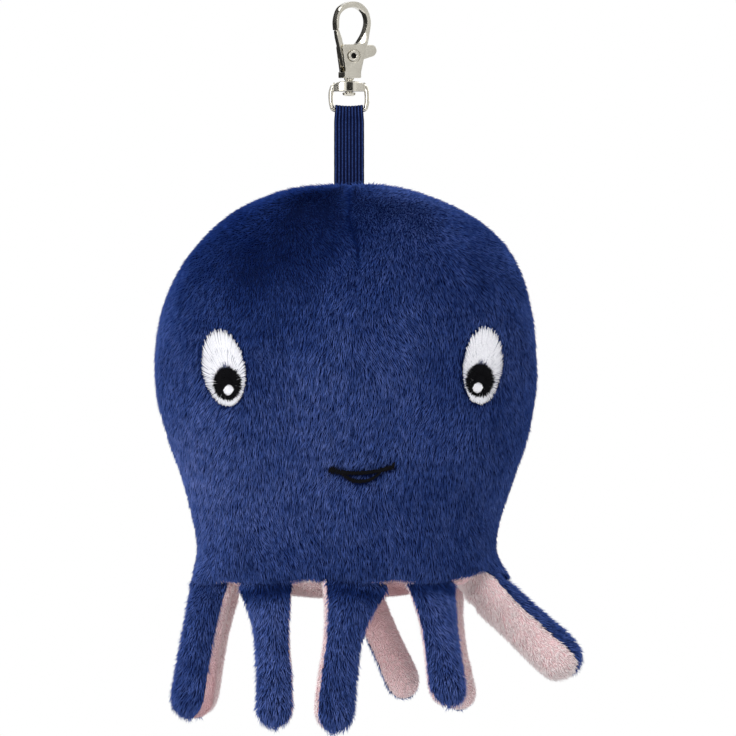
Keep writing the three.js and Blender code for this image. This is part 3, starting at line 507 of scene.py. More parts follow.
def hem_angle(x, y):
    wide, deep = float(half_width(HEM)), float(half_depth(HEM))
    return np.degrees(np.arctan2((x - HEAD_SIDE) / wide, -y / deep))


def round_hem(angle, changes):
    total = np.zeros_like(angle)
    for at, size, reach in changes:
        total += size * bell((angle - at + 180) % 360 - 180, reach)
    return total


def hem_shaped(place):
    """Spreads and arches the lowest part of the head."""
    angle = hem_angle(place[:, 0], place[:, 1])
    turn = np.radians(angle)
    low = np.clip((HEM + HEM_SHAPED - place[:, 2]) / HEM_SHAPED, 0.0, 1.0)
    out = round_hem(angle, HEM_SPREADS) * low ** 1.6
    rise = round_hem(angle, HEM_ARCHES) * low ** 1.5
    return place + np.stack([np.sin(turn) * out, -np.cos(turn) * out, rise], axis=1)


def as_array(mesh, what="co"):
    values = np.zeros(len(mesh.vertices) * 3, np.float32)
    mesh.vertices.foreach_get(what, values)
    return values.reshape(-1, 3).astype(float)


def pushed_out(mesh, by):
    """Moves every point along its normal."""
    place = as_array(mesh) + as_array(mesh, "normal") * by[:, None]
    mesh.vertices.foreach_set("co", np.asarray(place, np.float32).ravel())
    mesh.update()


def lumps(place, size, seed):
    shift = Vector((seed * 1.7, seed * 0.9, seed * 2.3))
    return np.array([noise.noise(Vector(p) / size + shift) for p in place])


def dart_distance(place):
    """How far each point is from the dart's stitched line on the front, below the strap."""
    z = place[:, 2]
    line_x = np.interp(-z, [0.0598, 0.0715, 0.0790, 0.0862], [0.0, 0.0, 0.0025, 0.0032])
    beyond = np.clip(-z - 0.0862, 0.0, None)
    return np.hypot(place[:, 0] - line_x, beyond) + np.where(place[:, 1] < 0.0, 0.0, 0.01)


def puffed(points, faces, held, most, scale):
    """Blows a closed form up as cloth, held where it is sewn, and gives the places of its points."""
    mesh = smooth_mesh("cloth", [tuple(scale * c for c in p) for p in points], faces, 180.0)
    assert len(mesh.vertices) == len(points)
    cloth_piece = linked("cloth", mesh)
    sewn = cloth_piece.vertex_groups.new(name="sewn")
    for index, hold in enumerate(held):
        sewn.add([index], float(hold), "REPLACE")
    before = as_array(mesh)
    cloth = cloth_piece.modifiers.new("cloth", "CLOTH")
    cloth.settings.vertex_group_mass = "sewn"
    cloth.settings.use_pressure, cloth.settings.uniform_pressure_force = True, 60.0
    cloth.settings.effector_weights.gravity = 0.0
    cloth.settings.quality = 6
    cloth.settings.tension_stiffness = cloth.settings.compression_stiffness = 5.0
    cloth.settings.shear_stiffness = 1.7
    cloth.point_cache.frame_end = CLOTH_STEPS
    for step in range(1, CLOTH_STEPS + 1):
        bpy.context.scene.frame_set(step)
    settled(cloth_piece)
    moved = (as_array(cloth_piece.data) - before) / scale
    bpy.context.scene.frame_set(1)
    bpy.data.objects.remove(cloth_piece)
    far = np.linalg.norm(moved, axis=1)[:, None]
    return before / scale + moved * (most * np.tanh(far / most) / np.maximum(far, 1e-9))


def head_held(place):
    """1 where the head's cloth is sewn down or stiff with stitching, 0 where it is free."""
    x, z, front = place[:, 0], place[:, 2], place[:, 1] < 0.0
    held = (np.abs(place[:, 1]) < 0.0012) | (z < HEM + 0.0022)
    held |= (np.hypot(x, place[:, 1]) < 0.0065) & (z > HEAD_WIDEST)
    held |= dart_distance(place) < 0.0014
    for stiff_x, stiff_z, wide, tall in STIFF_STITCHING:
        held |= front & (np.hypot((x - stiff_x) / wide, (z - stiff_z) / tall) < 1.0)
    return held.astype(float)


def backed(piece, wall):
    """Gives a sheet of plush the thickness of its backing."""
    backing = piece.modifiers.new("plush backing", "SOLIDIFY")
    backing.thickness, backing.offset, backing.use_rim = wall, -1.0, True
    settled(piece)


points, faces = head_surface(HEAD_COLUMNS, 34, 36, SKIN_INSET, HEM_EDGE, HEM_ROLL)
form, form_faces = closed_below(points, faces, HEAD_COLUMNS, (HEAD_SIDE, 0.0, HEM - 0.001))
swollen = puffed(form, form_faces, head_held(np.array(form)), 0.0019, 4.0)[:-1]
head = linked("head_plush_panels", smooth_mesh("head panels", hem_shaped(swollen), faces, 180.0))
level = head.modifiers.new("finer", "SUBSURF")
level.levels = level.render_levels = 1
settled(head)
place = as_array(head.data)
x, y, z = place.T
dome = z > HEAD_WIDEST
rightwards = np.clip((x - 0.012) / 0.03, 0.0, 1.0)
swell = 0.0006 * lumps(place, 0.034, 3) + 0.00035 * lumps(place, 0.013, 8)
fuller = 0.0024 * bell(z, 0.015, -0.083) * rightwards
fuller += 0.0017 * bell(z, 0.017, -0.155) * rightwards
fuller += 0.0011 * bell(np.hypot(x - 0.004, y), 0.03) * dome
side_seam, dart = bell(y, 0.0013) * (z > HEM), bell(dart_distance(place), 0.0012)
crown = np.exp(-(x / 0.008) ** 2 - (y / 0.006) ** 2) * dome
pushed_out(head.data, swell + fuller - 0.0006 * side_seam - 0.0006 * dart - 0.0004 * crown)
head_sheet = head.data.copy()
backed(head, SKIN_WALL)


def plush_ground(name, dark, light):
    finish, tree, shader = new_finish(name, light, 0.9)
    knit = grain(tree, 1500.0, 3.0, 0.6)
    mixed = maths(tree, "MULTIPLY_ADD", knit, 0.6, grain(tree, 70.0, 3.0))
    fit(tree, shader, Base_Color=shades(tree, mixed, [(0.5, dark), (1.1, light)]),
        Roughness=between(tree, knit, 0.8, 1.0), Specular_IOR_Level=0.0)
    bumps(tree, shader, grain(tree, 2200.0, 4.0, 0.7), 0.0002, 0.8)
    return finish


navy_ground = plush_ground("navy plush backing", (0.0015, 0.004, 0.024), (0.006, 0.013, 0.062))
painted(head, navy_ground)
belongs(head, "plush", "navy_plush", "head_front", "head_back")

# The head's filling
# A wad of white polyester fibre, pushed in through the underside and lumpy where it was packed.
FILLING_INSET, FILLING_COLUMNS = 0.0036, 64
FILLING_BOTTOM = HEM + 0.0034


def fibre():
    finish, tree, shader = new_finish("white fibre", (0.82, 0.81, 0.78), 0.9)
    strands = grain(tree, 1200.0, 5.0, 0.7)
    fit(tree, shader, Base_Color=shades(tree, strands, [(0.35, (0.66, 0.65, 0.62)), (0.65, (0.88, 0.87, 0.84))]),
        Roughness=between(tree, strands, 0.8, 1.0), Sheen_Weight=0.4)
    bumps(tree, shader, strands, 0.0004, 0.8)
    return finish


white_fibre = fibre()
form = head_surface(FILLING_COLUMNS, 20, 20, FILLING_INSET, FILLING_BOTTOM, [(0.004, -0.0004), (0.012, -0.0006)])
form = closed_below(*form, FILLING_COLUMNS, (HEAD_SIDE, 0.0, FILLING_BOTTOM - 0.0006))
filling = linked("head_fibre_filling", smooth_mesh("filling", *form, 180.0), white_fibre)
pushed_out(filling.data, -0.0006 * (1 + lumps(as_array(filling.data), 0.012, 5)))
belongs(filling, "plush", "fibre_fill", "head_stuffing")

# The underside
# One oval of pale pink plush, sewn into the hem and pushed out a little by the filling.
UNDERSIDE_BULGE, PANEL_EDGE, PANEL_SIDES = 0.005, 0.0031, 96
MOST_SPREAD = 0.0025


def underside_shape():
    wide, deep = float(half_width(HEM)) - PANEL_EDGE, float(half_depth(HEM)) - PANEL_EDGE
    points, shares = [], np.linspace(1.0, 0.0, 15)[:-1]
    for share in shares:
        drop = UNDERSIDE_BULGE * (1 - share ** 2) ** 1.5
        for a in circle(PANEL_SIDES):
            x, y = wide * share * math.cos(a), deep * share * math.sin(a)
            angle = hem_angle(np.array([HEAD_SIDE + wide * math.cos(a)]), np.array([deep * math.sin(a)]))
            rise = float(round_hem(angle, HEM_ARCHES)[0]) * share ** 5
            spread = 1 + min(float(round_hem(angle, HEM_SPREADS)[0]), MOST_SPREAD) * share ** 3 / wide
            points.append((HEAD_SIDE + x * spread, y * spread, HEM - drop + rise))
    points.append((HEAD_SIDE, 0.0, HEM - UNDERSIDE_BULGE))
    return points, hoops(len(shares), PANEL_SIDES) + fanned((len(shares) - 1) * PANEL_SIDES, PANEL_SIDES,
                                                            len(points) - 1)


points, faces = underside_shape()
mesh = bpy.data.meshes.new("underside")
mesh.from_pydata(points, [], faces)
mesh.update()
if mesh.polygons[0].normal.z > 0:
    mesh.flip_normals()
underside_sheet = mesh.copy()
underside = linked("underside_pink_panel", mesh)
backed(underside, SKIN_WALL)
underside.data.shade_smooth()
pink_ground = plush_ground("pink plush backing", (0.56, 0.33, 0.35), (0.82, 0.58, 0.60))
painted(underside, pink_ground)
belongs(underside, "plush", "pink_plush", "base_panel")

# The eight tentacles
# Each is a tube of a navy outer panel and a pink inner panel, sewn down both sides, turned out and stuffed,
# and caught into the hem, where it creases and its panels spread into webs.
ROOT_HALF_WIDTH, ROOT_RADIUS = 0.0064, 0.0045
TIP_HALF_WIDTH, TIP_HALF_THICKNESS = 0.007, 0.0056
ROOT_BELOW_HEM, ROOT_INSET = 0.0034, 0.0049
TUBE_INSET, TUBE_WALL, TUBE_COLUMNS = 0.0011, 0.001, 32
WAD_TOP, WAD_SHORTER, WAD_COLUMNS = 0.0008, 0.0032, 20
TENTACLES = [
    # round the hem, outwards, leaning right, leaning back, twisted, long, thick, webs at both seams, bowed, top
    (-80, 0.0005, -9.6, -6, -36, 0.0428, 1.2, (0.0012, 0.0016), 0.0004, 0.0040),
    (-34.5, 0.0, 3.1, -7, 0, 0.0450, 1.0, (0.0046, 0.0030), -0.0005, 0.0052),
    (2, 0.0, -7.9, -6, -14, 0.0466, 1.07, (0.0044, 0.0058), 0.0008, 0.0052),
    (41, 0.0, 7.0, -22, 0, 0.0405, 1.04, (0.0046, 0.0012), 0.0005, 0.0052),
    (92, 0.002, 47, 6, -20, 0.0395, 1.4, (0.0040, 0.003), 0.0004, 0.012),
    (135.5, 0.0, 10.3, 10, -25, 0.0419, 1.0, (0.003, 0.003), -0.0006, 0.006),
    (174.3, 0.0, 25, 14, -12, 0.0415, 0.92, (0.003, 0.003), 0.0006, 0.0052),
    (-114, 0.0, -11, 8, 0, 0.0430, 1.0, (0.003, 0.003), -0.0006, 0.0052),
]
# By how many columns of the tube the pink panel reaches round the first seam, or, below zero, the second.
PINK_ROUND_THE_SEAM = {1: -2, 3: 2, 5: 1, 6: 3, 7: 2}


def tentacle_frame(around, outwards, right, back, twist):
    """Where a tentacle is sewn in, which way it hangs, and the turn that takes its own shape there."""
    angle = math.radians(around)
    wide, deep = float(half_width(HEM)) - ROOT_INSET, float(half_depth(HEM)) - ROOT_INSET
    out = Vector((math.sin(angle) / wide, -math.cos(angle) / deep, 0)).normalized()
    root = Vector((HEAD_SIDE + wide * math.sin(angle), -deep * math.cos(angle), HEM - ROOT_BELOW_HEM))
    root += out * outwards
    down = Vector((math.tan(math.radians(right)), math.tan(math.radians(back)), -1)).normalized()
    hinge = down.cross(out).normalized()
    hinge.rotate(Matrix.Rotation(math.radians(twist), 3, down))
    turn = Matrix((hinge, hinge.cross(down), -down)).transposed().to_4x4()
    return Matrix.Translation(root) @ turn, root, down


def tentacle_rings(length, girth, webs, bow, top, seed):
    """The whole tube in the tentacle's own frame, puffed out between its seams: its rings of points, and its tip."""
    end = length - TUBE_INSET
    levels = list(np.linspace(top, -length * 0.8, 32))
    levels += [-end + 0.0072 * (1 - math.sin(a)) for a in np.linspace(0.1, math.pi / 2 - 0.12, 11)]
    levels = sorted({round(z, 7) for z in levels}, reverse=True)
    points = []
    for z in levels:
        along = min(max(-z / length, 0.0), 1.0)
        near_tip = min(max((-z - (end - TIP_HALF_WIDTH)) / TIP_HALF_WIDTH, 0.0), 1.0)
        cap = math.sqrt(max(1 - near_tip ** 2.3, 0.0))
        web = min(max((z + 0.019) / 0.021, 0.0), 1.0) ** 1.9
        tuck = 1 - 0.4 * min(max((z - 0.003) / 0.0024, 0.0), 1.0)
        wide = (ROOT_HALF_WIDTH + (TIP_HALF_WIDTH - ROOT_HALF_WIDTH) * along) * girth - TUBE_INSET
        thick = (ROOT_RADIUS + (TIP_HALF_THICKNESS - ROOT_RADIUS) * along) * girth - TUBE_INSET
        middle = bow * math.sin(math.pi * along)
        for a in circle(TUBE_COLUMNS):
            side = wide + (webs[0] if math.cos(a) > 0 else webs[1]) * web
            swell = 1 + 0.05 * noise.noise(Vector((math.cos(a) * 1.3 + seed, math.sin(a) * 1.3, z * 110)))
            points.append((middle + side * cap * math.cos(a) * swell, thick * tuck * cap * math.sin(a) * swell, z))
    rows, tip = len(levels), len(points)
    points += [(0.0, 0.0, -end), (0.0, 0.0, levels[0] + 0.0005)]
    faces = hoops(rows, TUBE_COLUMNS) + fanned(tip - TUBE_COLUMNS, TUBE_COLUMNS, tip)
    faces += [(j, tip + 1, (j + 1) % TUBE_COLUMNS) for j in range(TUBE_COLUMNS)]
    on_seam = np.arange(len(points)) % (TUBE_COLUMNS // 2) == 0
    held = ((np.array(points)[:, 2] > -0.0012) | on_seam).astype(float)
    held[tip] = 1.0
    place = puffed(points, faces, held, 0.0012, 20.0)
    return place[:tip].reshape(rows, TUBE_COLUMNS, 3), place[tip]


def part_tube(rings, tip, first, wide):
    """One panel: the part of the tube from one seam to the other, as an open sheet with its edges just apart."""
    columns = [(first + j) % TUBE_COLUMNS for j in range(wide)]
    points = []
    for ring in rings:
        strip = ring[columns].copy()
        strip[0] += (strip[1] - strip[0]) * 0.04
        strip[-1] += (strip[-2] - strip[-1]) * 0.04
        points += [tuple(p) for p in strip]
    last = (len(rings) - 1) * wide
    faces = [(k + j, k + wide + j, k + wide + j + 1, k + j + 1) for k in range(0, last, wide) for j in range(wide - 1)]
    faces += [(last + j, len(points), last + j + 1) for j in range(wide - 1)]
    return points + [tuple(tip)], faces


def panel_sheet(name, points, faces, matrix, root, down):
    """The panel's sheet in its place, facing away from the tentacle's middle."""
    mesh = bpy.data.meshes.new(name)
    mesh.from_pydata(points, [], faces)
    mesh.transform(matrix)
    mesh.update()
    face = mesh.polygons[len(mesh.polygons) // 2]
    if (face.center - (root + down * (face.center - root).dot(down))).dot(face.normal) < 0:
        mesh.flip_normals()
    mesh.shade_smooth()
    return mesh


def wad_shape(length, girth, seed):
    points = []
    rows = np.linspace(0.0, 1.0, 16)[1:-1]
    for share in rows:
        z = WAD_TOP - share * (length - WAD_SHORTER)
        cap = math.sqrt(1 - abs(2 * share - 1) ** 6)
        for a in circle(WAD_COLUMNS):
            lump = 1 + 0.1 * noise.noise(Vector((math.cos(a) + seed, math.sin(a), z * 200)))
            points.append((0.0038 * girth * cap * lump * math.cos(a), 0.0021 * girth * cap * lump * math.sin(a), z))
    tip = len(points)
    points += [(0, 0, WAD_TOP), (0, 0, WAD_TOP - (length - WAD_SHORTER))]
    return points, hoops(len(rows), WAD_COLUMNS) + fanned(0, WAD_COLUMNS, tip) + fanned(
        tip - WAD_COLUMNS, WAD_COLUMNS, tip + 1)


tentacle_places, tentacle_sheets = {}, {}
for number, (*stance, length, girth, webs, bow, top) in enumerate(TENTACLES, 1):
    matrix, root, down = tentacle_frame(*stance)
    rings, tip = tentacle_rings(length, girth, webs, bow, top, number)
    body = f"tentacle_{number}"
    start, end = root - down * 0.0022, root + down * 0.0075
    tentacle_places[number] = (np.array(root), np.array(matrix.to_3x3()), length, girth)
    over = PINK_ROUND_THE_SEAM.get(number, 0)
    for side, first, wide, ground, slot in (
        ("outer", max(over, 0), 17 - abs(over), navy_ground, "navy_plush"),
        ("inner", 16 + min(over, 0), 17 + abs(over), pink_ground, "pink_plush"),
    ):
        sheet = panel_sheet(f"{body} {side}", *part_tube(rings, tip, first, wide), matrix, root, down)
        tentacle_sheets[number, side] = (sheet.copy(), tuple(down), start, end)
        piece = linked(f"{body}_{side}_panel", sheet, ground)
        backed(piece, TUBE_WALL)
        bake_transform(piece)
        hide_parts(f"{body}_{side}")
    wad = linked(f"{body}_fibre_filling",
                 smooth_mesh(f"{body} filling", *wad_shape(length, girth, number), 180.0), white_fibre)
    wad.data.transform(matrix)
    belongs(wad, body, "fibre_fill", f"{body}_fill")

# The embroidered face
# Satin stitches of rayon thread through the plush: two white ovals whose stitches fan out from black pupils
# with a white glint, and a small open smile in black. The needle leaves the edges ragged.
THREAD = 0.00034
EYES = {
    "left": ((-0.0410, -0.1203), (0.0142, 0.0255), -10.0, (-0.0396, -0.1253), (-0.0390, -0.1273)),
    "right": ((0.0438, -0.1195), (0.0129, 0.0256), 5.5, (0.0426, -0.1242), (0.0417, -0.1266)),
}
PUPIL, GLINT = (0.0094, 0.0111), (0.003, 0.0034)
MOUTH_AT, MOUTH_HALF = (0.0042, -0.1528), 0.0107
SMILE = {"upper": (1.0, 0.0, 0.0018), "lower": (0.62, 0.0014, 0.0032)}
CORE_STEPS = 30


def face_depth(x, z):
    across = np.clip(np.abs(x - HEAD_SIDE) / half_width(z), 0.0, 0.999)
    return -half_depth(z) * np.sqrt(1 - across ** 2)


def on_face(x, z, lift):
    """Points on the front of the head, lifted off it."""
    step = 0.0005
    slope_x = (face_depth(x + step, z) - face_depth(x - step, z)) / (2 * step)
    slope_z = (face_depth(x, z + step) - face_depth(x, z - step)) / (2 * step)
    normal = np.stack([slope_x, -np.ones_like(slope_x), slope_z], axis=-1)
    normal /= np.linalg.norm(normal, axis=-1, keepdims=True)
    return np.stack([x, face_depth(x, z), z], axis=-1) + normal * np.asarray(lift)[..., None]


def oval_distance(x, z, centre, size, lean):
    """Below 1 inside the oval, 1 on its edge"""
    turn = math.radians(lean)
    dx, dz = x - centre[0], z - centre[1]
    across = dx * math.cos(turn) - dz * math.sin(turn)
    up = dx * math.sin(turn) + dz * math.cos(turn)
    return np.hypot(across / (size[0] / 2), up / (size[1] / 2))


def on_oval(centre, size, lean, a):
    turn = math.radians(lean)
    across, up = size[0] / 2 * math.cos(a), size[1] / 2 * math.sin(a)
    return np.array([centre[0] + across * math.cos(turn) + up * math.sin(turn),
                     centre[1] - across * math.sin(turn) + up * math.cos(turn)])


def sewing_thread(name, light, dark, rough, shine):
    finish, tree, shader = new_finish(name, light, rough)
    ply = grain(tree, 3200.0, 2.0)
    fit(tree, shader, Base_Color=shades(tree, ply, [(0.3, dark), (0.65, light)]),
        Roughness=between(tree, ply, rough - 0.1, rough + 0.15), Anisotropic=0.4, Specular_IOR_Level=shine)
    bumps(tree, shader, ply, 0.00006, 0.5)
    return finish


white_thread = sewing_thread("white embroidery thread", (0.80, 0.80, 0.83), (0.60, 0.60, 0.65), 0.5, 0.2)
black_thread = sewing_thread("black embroidery thread", (0.004, 0.004, 0.005), (0.0012, 0.0012, 0.002), 0.55, 0.04)
# A dark thread as painted shade deep between the stitches.
thread_painted_dark_for_shade = sewing_thread("thread deep between the stitches", (0.16, 0.17, 0.25), (0.05, 0.06, 0.12), 0.7, 0.1)


def new_tree(name, result, **given):
    """A Geometry Nodes tree with its named inputs and its one output."""
    tree = bpy.data.node_groups.new(name, "GeometryNodeTree")
    for label, kind in given.items():
        tree.interface.new_socket(label.replace("_", " "), in_out="INPUT", socket_type=f"NodeSocket{kind}")
    tree.interface.new_socket(result, in_out="OUTPUT", socket_type="NodeSocketGeometry")
    return tree, add(tree, "NodeGroupInput").outputs


def ended(tree, geometry, finish):
    """Ends a tree with one smooth mesh in its finish."""
    real = add(tree, "GeometryNodeRealizeInstances", Geometry=geometry)
    smooth = add(tree, "GeometryNodeSetShadeSmooth", Geometry=real.outputs["Geometry"])
    last = add(tree, "GeometryNodeSetMaterial", Geometry=smooth.outputs["Geometry"], Material=finish)
    tree.links.new(last.outputs["Geometry"], add(tree, "NodeGroupOutput").inputs[0])
    return tree


def stitch_tree():
    """Sweeps a thread along every stitch line, thicker in its middle than at its two ends."""
    tree, given = new_tree("stitches", "Stitches", Stitch_lines="Geometry", Thread_width="Float",
                           Thread_sides="Int", Thread="Material")
    curves = add(tree, "GeometryNodeMeshToCurve", Mesh=given["Stitch lines"])
    belly = add(tree, "ShaderNodeFloatCurve", Value=add(tree, "GeometryNodeSplineParameter").outputs["Factor"])
    line = belly.mapping.curves[0]
    line.points[0].location, line.points[1].location = (0.0, 0.45), (1.0, 0.45)
    line.points.new(0.18, 0.95)
    line.points.new(0.82, 0.95)
    belly.mapping.update()
    sized = add(tree, "GeometryNodeSetCurveRadius", Curve=curves.outputs["Curve"],
                Radius=maths(tree, "MULTIPLY", belly.outputs["Value"], given["Thread width"]))
    section = add(tree, "GeometryNodeCurvePrimitiveCircle", Resolution=given["Thread sides"], Radius=0.5)
    tube = add(tree, "GeometryNodeCurveToMesh", Curve=sized.outputs["Curve"], Fill_Caps=True,
               Profile_Curve=section.outputs["Curve"])
    if "Scale" in tube.inputs:
        fit(tree, tube, Scale=add(tree, "GeometryNodeInputRadius").outputs[0])
    return ended(tree, tube.outputs["Mesh"], given["Thread"])


stitches = stitch_tree()


def grown(piece, tree, **values):
    """Puts a Geometry Nodes tree on the piece with its named inputs, and keeps the mesh that it makes."""
    modifier = piece.modifiers.new(tree.name, "NODES")
    modifier.node_group = tree
    for item in tree.interface.items_tree:
        if item.item_type == "SOCKET" and item.in_out == "INPUT" and item.name.replace(" ", "_") in values:
            modifier[item.identifier] = values[item.name.replace(" ", "_")]
    return settled(piece)


def stitched(name, lines, finish, width=THREAD, sides=6):
    points, edges = [], []
    for line in lines:
        first = len(points)
        points += [tuple(p) for p in line]
        edges += [(first + i, first + i + 1) for i in range(len(line) - 1)]
    mesh = bpy.data.meshes.new(name)
    mesh.from_pydata(points, edges, [])
    return grown(linked(name, mesh), stitches, Thread_width=width, Thread_sides=sides, Thread=finish)


def fan(centre, size, lean, source, lift, seed, rows, ragged, pitch=THREAD * 0.9):
    """Stitches that fan out from a point inside an oval, in rows that overlap, each row nearer its edge."""
    chance = np.random.default_rng(seed)
    heart, share = np.array(source), np.linspace(0.0, 1.0, 5)
    lines = []
    for low, high in rows:
        count = max(int(math.pi * (size[0] + size[1]) / 2 * (low + high) / 2 / pitch), 8)
        for i in range(count):
            rim = on_oval(centre, size, lean, 2 * math.pi * (i + chance.uniform(-0.25, 0.25)) / count)
            inner = heart + (rim - heart) * (low + chance.uniform(-0.05, 0.05))
            outer = heart + (rim - heart) * (high + chance.uniform(-ragged, ragged * 0.7))
            x, z = (inner[k] + (outer[k] - inner[k]) * share for k in (0, 1))
            lines.append(on_face(x, z, lift + 0.00018 * np.sin(math.pi * share) + chance.uniform(-0.00006, 0.00006)))
    return lines


def joined(*parts):
    """Makes loose parts that are one piece of work into one mesh, under the first one's name."""
    mesh = bpy.data.meshes.new(parts[0].name)
    with reworked(mesh, *(part.data for part in parts)):
        pass
    first = 0
    for index, part in enumerate(parts):
        mesh.materials.append(part.data.materials[0])
        for face in mesh.polygons[first:first + len(part.data.polygons)]:
            face.material_index = index
        first += len(part.data.polygons)
    parts[0].data = mesh
    for part in parts[1:]:
        bpy.data.objects.remove(part)


def bed(centre, size, lean, low, high, finish, sides=40, shares=(1.0, 0.82, 0.55, 0.28)):
    """The under-stitching: a closed low oval cushion that follows the head."""
    outline = np.array([on_oval(centre, size, lean, a) for a in circle(sides)])
    centre = np.array(centre, float)
    points = []
    for lift, order in ((low, shares[::-1]), (high, shares)):
        for share in order:
            at = centre + (outline - centre) * share
            points += list(on_face(at[:, 0], at[:, 1], np.full(len(at), lift - (0.00008 if share == 1.0 else 0))))
    layers = 2 * len(shares)
    faces = hoops(layers, sides)
    for first, lift in ((0, low), ((layers - 1) * sides, high)):
        faces += fanned(first, sides, len(points))
        points.append(on_face(centre[:1], centre[1:], np.array([lift]))[0])
    return linked("bed", smooth_mesh("bed", points, faces, 70.0), finish)


for side, (at, size, lean, pupil_at, glint_at) in EYES.items():
    seed = 11 if side == "left" else 12
    white = stitched(f"eye_white_stitches_{side}",
                     fan(at, size, lean, pupil_at, 0.00082, seed, [(0.36, 0.72), (0.62, 1.0)], 0.05, THREAD * 1.08),
                     white_thread)
    # Under the white stitches, a bed of dark thread as painted shade between them.
    joined(white, bed(at, (size[0] * 0.9, size[1] * 0.93), lean, -0.0004, 0.00078, thread_painted_dark_for_shade))
    belongs(white, "plush", "white_thread", f"eye_white_{side}")
    black = stitched(f"pupil_stitches_{side}",
                     fan(pupil_at, PUPIL, lean, pupil_at, 0.00125, seed + 80,
                         [(0.02, 0.5), (0.42, 0.8), (0.62, 1.02)], 0.09), black_thread)
    joined(black, bed(pupil_at, (PUPIL[0] * 0.93, PUPIL[1] * 0.93), lean, 0.00035, 0.00112, black_thread))
    belongs(black, "plush", "black_thread", f"pupil_{side}")
    spark_lines = []
    chance = np.random.default_rng(seed + 7)
    share = np.linspace(-1.0, 1.0, 5)
    for offset in np.arange(-GLINT[0] / 2, GLINT[0] / 2, THREAD * 0.8):
        tall = GLINT[1] / 2 * math.sqrt(max(1 - (2 * offset / GLINT[0]) ** 2, 0.05)) + chance.uniform(-0.0001, 0.0001)
        spark_lines.append(on_face(glint_at[0] + offset + 0.00015 * share, glint_at[1] + tall * share,
                                   0.00158 + 0.0001 * (1 - share ** 2)))
    spark = stitched(f"glint_stitches_{side}", spark_lines, white_thread)
    joined(spark, bed(glint_at, (GLINT[0] * 0.85, GLINT[1] * 0.85), 0.0, 0.0009, 0.00145, white_thread, 16, (1.0, 0.5)))
    belongs(spark, "plush", "white_thread", f"glint_{side}")


def smile_line(share, which):
    """A point along one of the smile's two strokes: how far it reaches, where it starts and how deep it hangs."""
    reach, start, depth = SMILE[which]
    x = MOUTH_AT[0] + share * reach * MOUTH_HALF
    return x, MOUTH_AT[1] + 0.0006 * share * reach - start - depth * (1 - np.abs(share) ** 2.4)


chance = np.random.default_rng(31)
mouth_lines = []
for which, (reach, start, depth) in SMILE.items():
    for share in np.arange(-1.0, 1.0, THREAD * 0.62 / MOUTH_HALF / reach):
        share += chance.uniform(-0.008, 0.008)
        x, z = smile_line(share, which)
        corner = max(abs(share) * reach - 0.5, 0.0) / 0.5
        tall = 0.00068 * (1 + 0.9 * corner) * chance.uniform(0.75, 1.2)
        lean = 0.00035 + chance.uniform(-0.0001, 0.0001)
        step = np.linspace(-1.0, 1.0, 4)
        mouth_lines.append(on_face(x + lean * step, z + tall * step, 0.0007 + 0.0003 * (1 - step ** 2)))
mouth = stitched("mouth_stitches", mouth_lines, black_thread)
for which in SMILE:
    x, z = smile_line(np.linspace(-1.0, 1.0, CORE_STEPS), which)
    joined(mouth, stitched("core", [on_face(x, z, np.full(CORE_STEPS, 0.00035))], black_thread, 0.0009, 8))
belongs(mouth, "plush", "black_thread", "mouth")

# The pile
# Crystal plush: dense soft tufts, 2 to 3 mm long, that lie down the head and the tentacles in soft whorls.
# It is pressed away under the stitching, parted along the seams, and longest at the tentacles' tips.
PILE_LENGTH, TUFT_WIDTH, LOCK_WIDTH = 0.0021, 0.00044, 0.0016


def chance_of(tree, kind="VALUE", low=0.0, high=1.0, **values):
    """A number, or three, drawn for each tuft."""
    data = {"VALUE": "FLOAT", "VECTOR": "FLOAT_VECTOR"}[kind]
    made = add(tree, "FunctionNodeRandomValue", {"data_type": data}, **values)
    least, most = [socket for socket in made.inputs if socket.type == kind][:2]
    least.default_value, most.default_value = low, high
    return [socket for socket in made.outputs if socket.type == kind][0]


def scaled(tree, vector, by):
    return add(tree, "ShaderNodeVectorMath", {"operation": "SCALE"}, Vector=vector, Scale=by).outputs["Vector"]


def marked(tree, geometry, domain, name, value):
    node = add(tree, "GeometryNodeStoreNamedAttribute", {"data_type": "FLOAT", "domain": domain},
               Geometry=geometry, Name=name, Value=value)
    return node.outputs["Geometry"]


